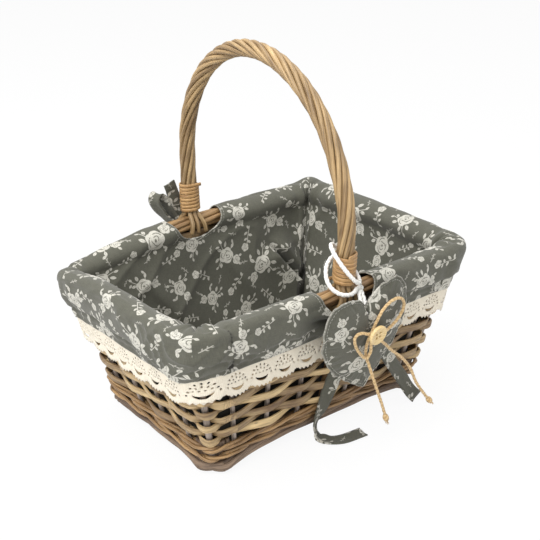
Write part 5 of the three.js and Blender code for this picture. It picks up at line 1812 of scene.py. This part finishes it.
def seen_directly(tree):
    """1 where a thing is looked at, also in a reflection, and 0 where it only lights others."""
    rays = tree.nodes.new("ShaderNodeLightPath")
    camera, glossy, through = (Value(rays.outputs[f"Is {kind} Ray"])
                               for kind in ("Camera", "Glossy", "Transmission"))
    return camera.most(glossy).most(through)


def camera_and_light():
    scene = bpy.context.scene
    data = bpy.data.cameras.new("camera")
    data.lens = CAMERA_LENS
    data.sensor_width = SENSOR_WIDTH
    turned = Matrix((CAMERA_RIGHT, CAMERA_UP, CAMERA_RIGHT.cross(CAMERA_UP))).transposed().to_4x4()
    scene.camera = add_object("camera", data)
    scene.camera.matrix_world = Matrix.Translation(CAMERA_PLACE) @ turned
    for name, place, size, power in LIGHTS:
        lamp = bpy.data.lights.new(name, "AREA")
        lamp.size = size
        lamp.energy = power
        holder = add_object(name, lamp)
        holder.location = place
        holder.rotation_euler = (LIGHT_AIM - Vector(place)).to_track_quat("-Z", "Y").to_euler()
    scene.world = bpy.data.worlds.new("studio")
    scene.world.use_nodes = True
    tree = scene.world.node_tree
    background = tree.nodes["Background"]
    put(background.inputs["Strength"], seen_directly(tree) * 0.5 + 0.5)
    background.inputs["Color"].default_value = (1, 1, 1, 1)
    scene.view_settings.view_transform = "Standard"


FLOOR_REACH = 6.0
FLOOR_BELOW = 0.0005
FLOOR_GLOW = 0.92


def floor():
    mesh = bpy.data.meshes.new("floor")
    corners = [(x * FLOOR_REACH, y * FLOOR_REACH, 0) for x, y in ((-1, -1), (1, -1), (1, 1), (-1, 1))]
    mesh.from_pydata(corners, [], [(0, 1, 2, 3)])
    material, tree, shader = new_material("pale_floor")
    finish_surface(shader, (0.86, 0.86, 0.86, 1), 0.9)
    glow = add_node(tree, "ShaderNodeEmission", Color=(1, 1, 1, 1), Strength=1.0)
    mix = tree.nodes.new("ShaderNodeMixShader")
    put(mix.inputs[0], seen_directly(tree) * FLOOR_GLOW)
    tree.links.new(shader.outputs[0], mix.inputs[1])
    tree.links.new(glow.outputs[0], mix.inputs[2])
    output = next(node for node in tree.nodes if node.type == "OUTPUT_MATERIAL")
    tree.links.new(mix.outputs[0], output.inputs["Surface"])
    mesh.materials.append(material)
    plane = add_object("floor", mesh)
    plane.location.z = -FLOOR_BELOW


def refinish(node, material):
    """A better material for a CAD node that stays in sight."""
    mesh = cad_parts[node].data
    lay_flat(mesh, lambda spot: (spot.x + 0.1 * spot.z, spot.y + spot.z))
    mesh.materials.clear()
    mesh.materials.append(material)


# Making

camera_and_light()
floor()
cords()
twine_bow()
padded_heart()
heart_button()
for row in range(ROWS):
    weave_row(row)
wale()
frames_and_posts()
rim_rods()
for rod in range(ROPE_RODS):
    rope_rod(rod)
cane_binding("back", False)
cane_binding("front", True)
liner()
lace_band("lace_right", 0.5, 4.5)
lace_band("lace_left", 4.5, 8.5)
ties()
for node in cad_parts:
    if node.startswith("base_stick"):
        refinish(node, FOOT_WILLOW)
refinish("base_strip", WEAVE_WILLOW)
refinish("handle_core", HANDLE_WILLOW)
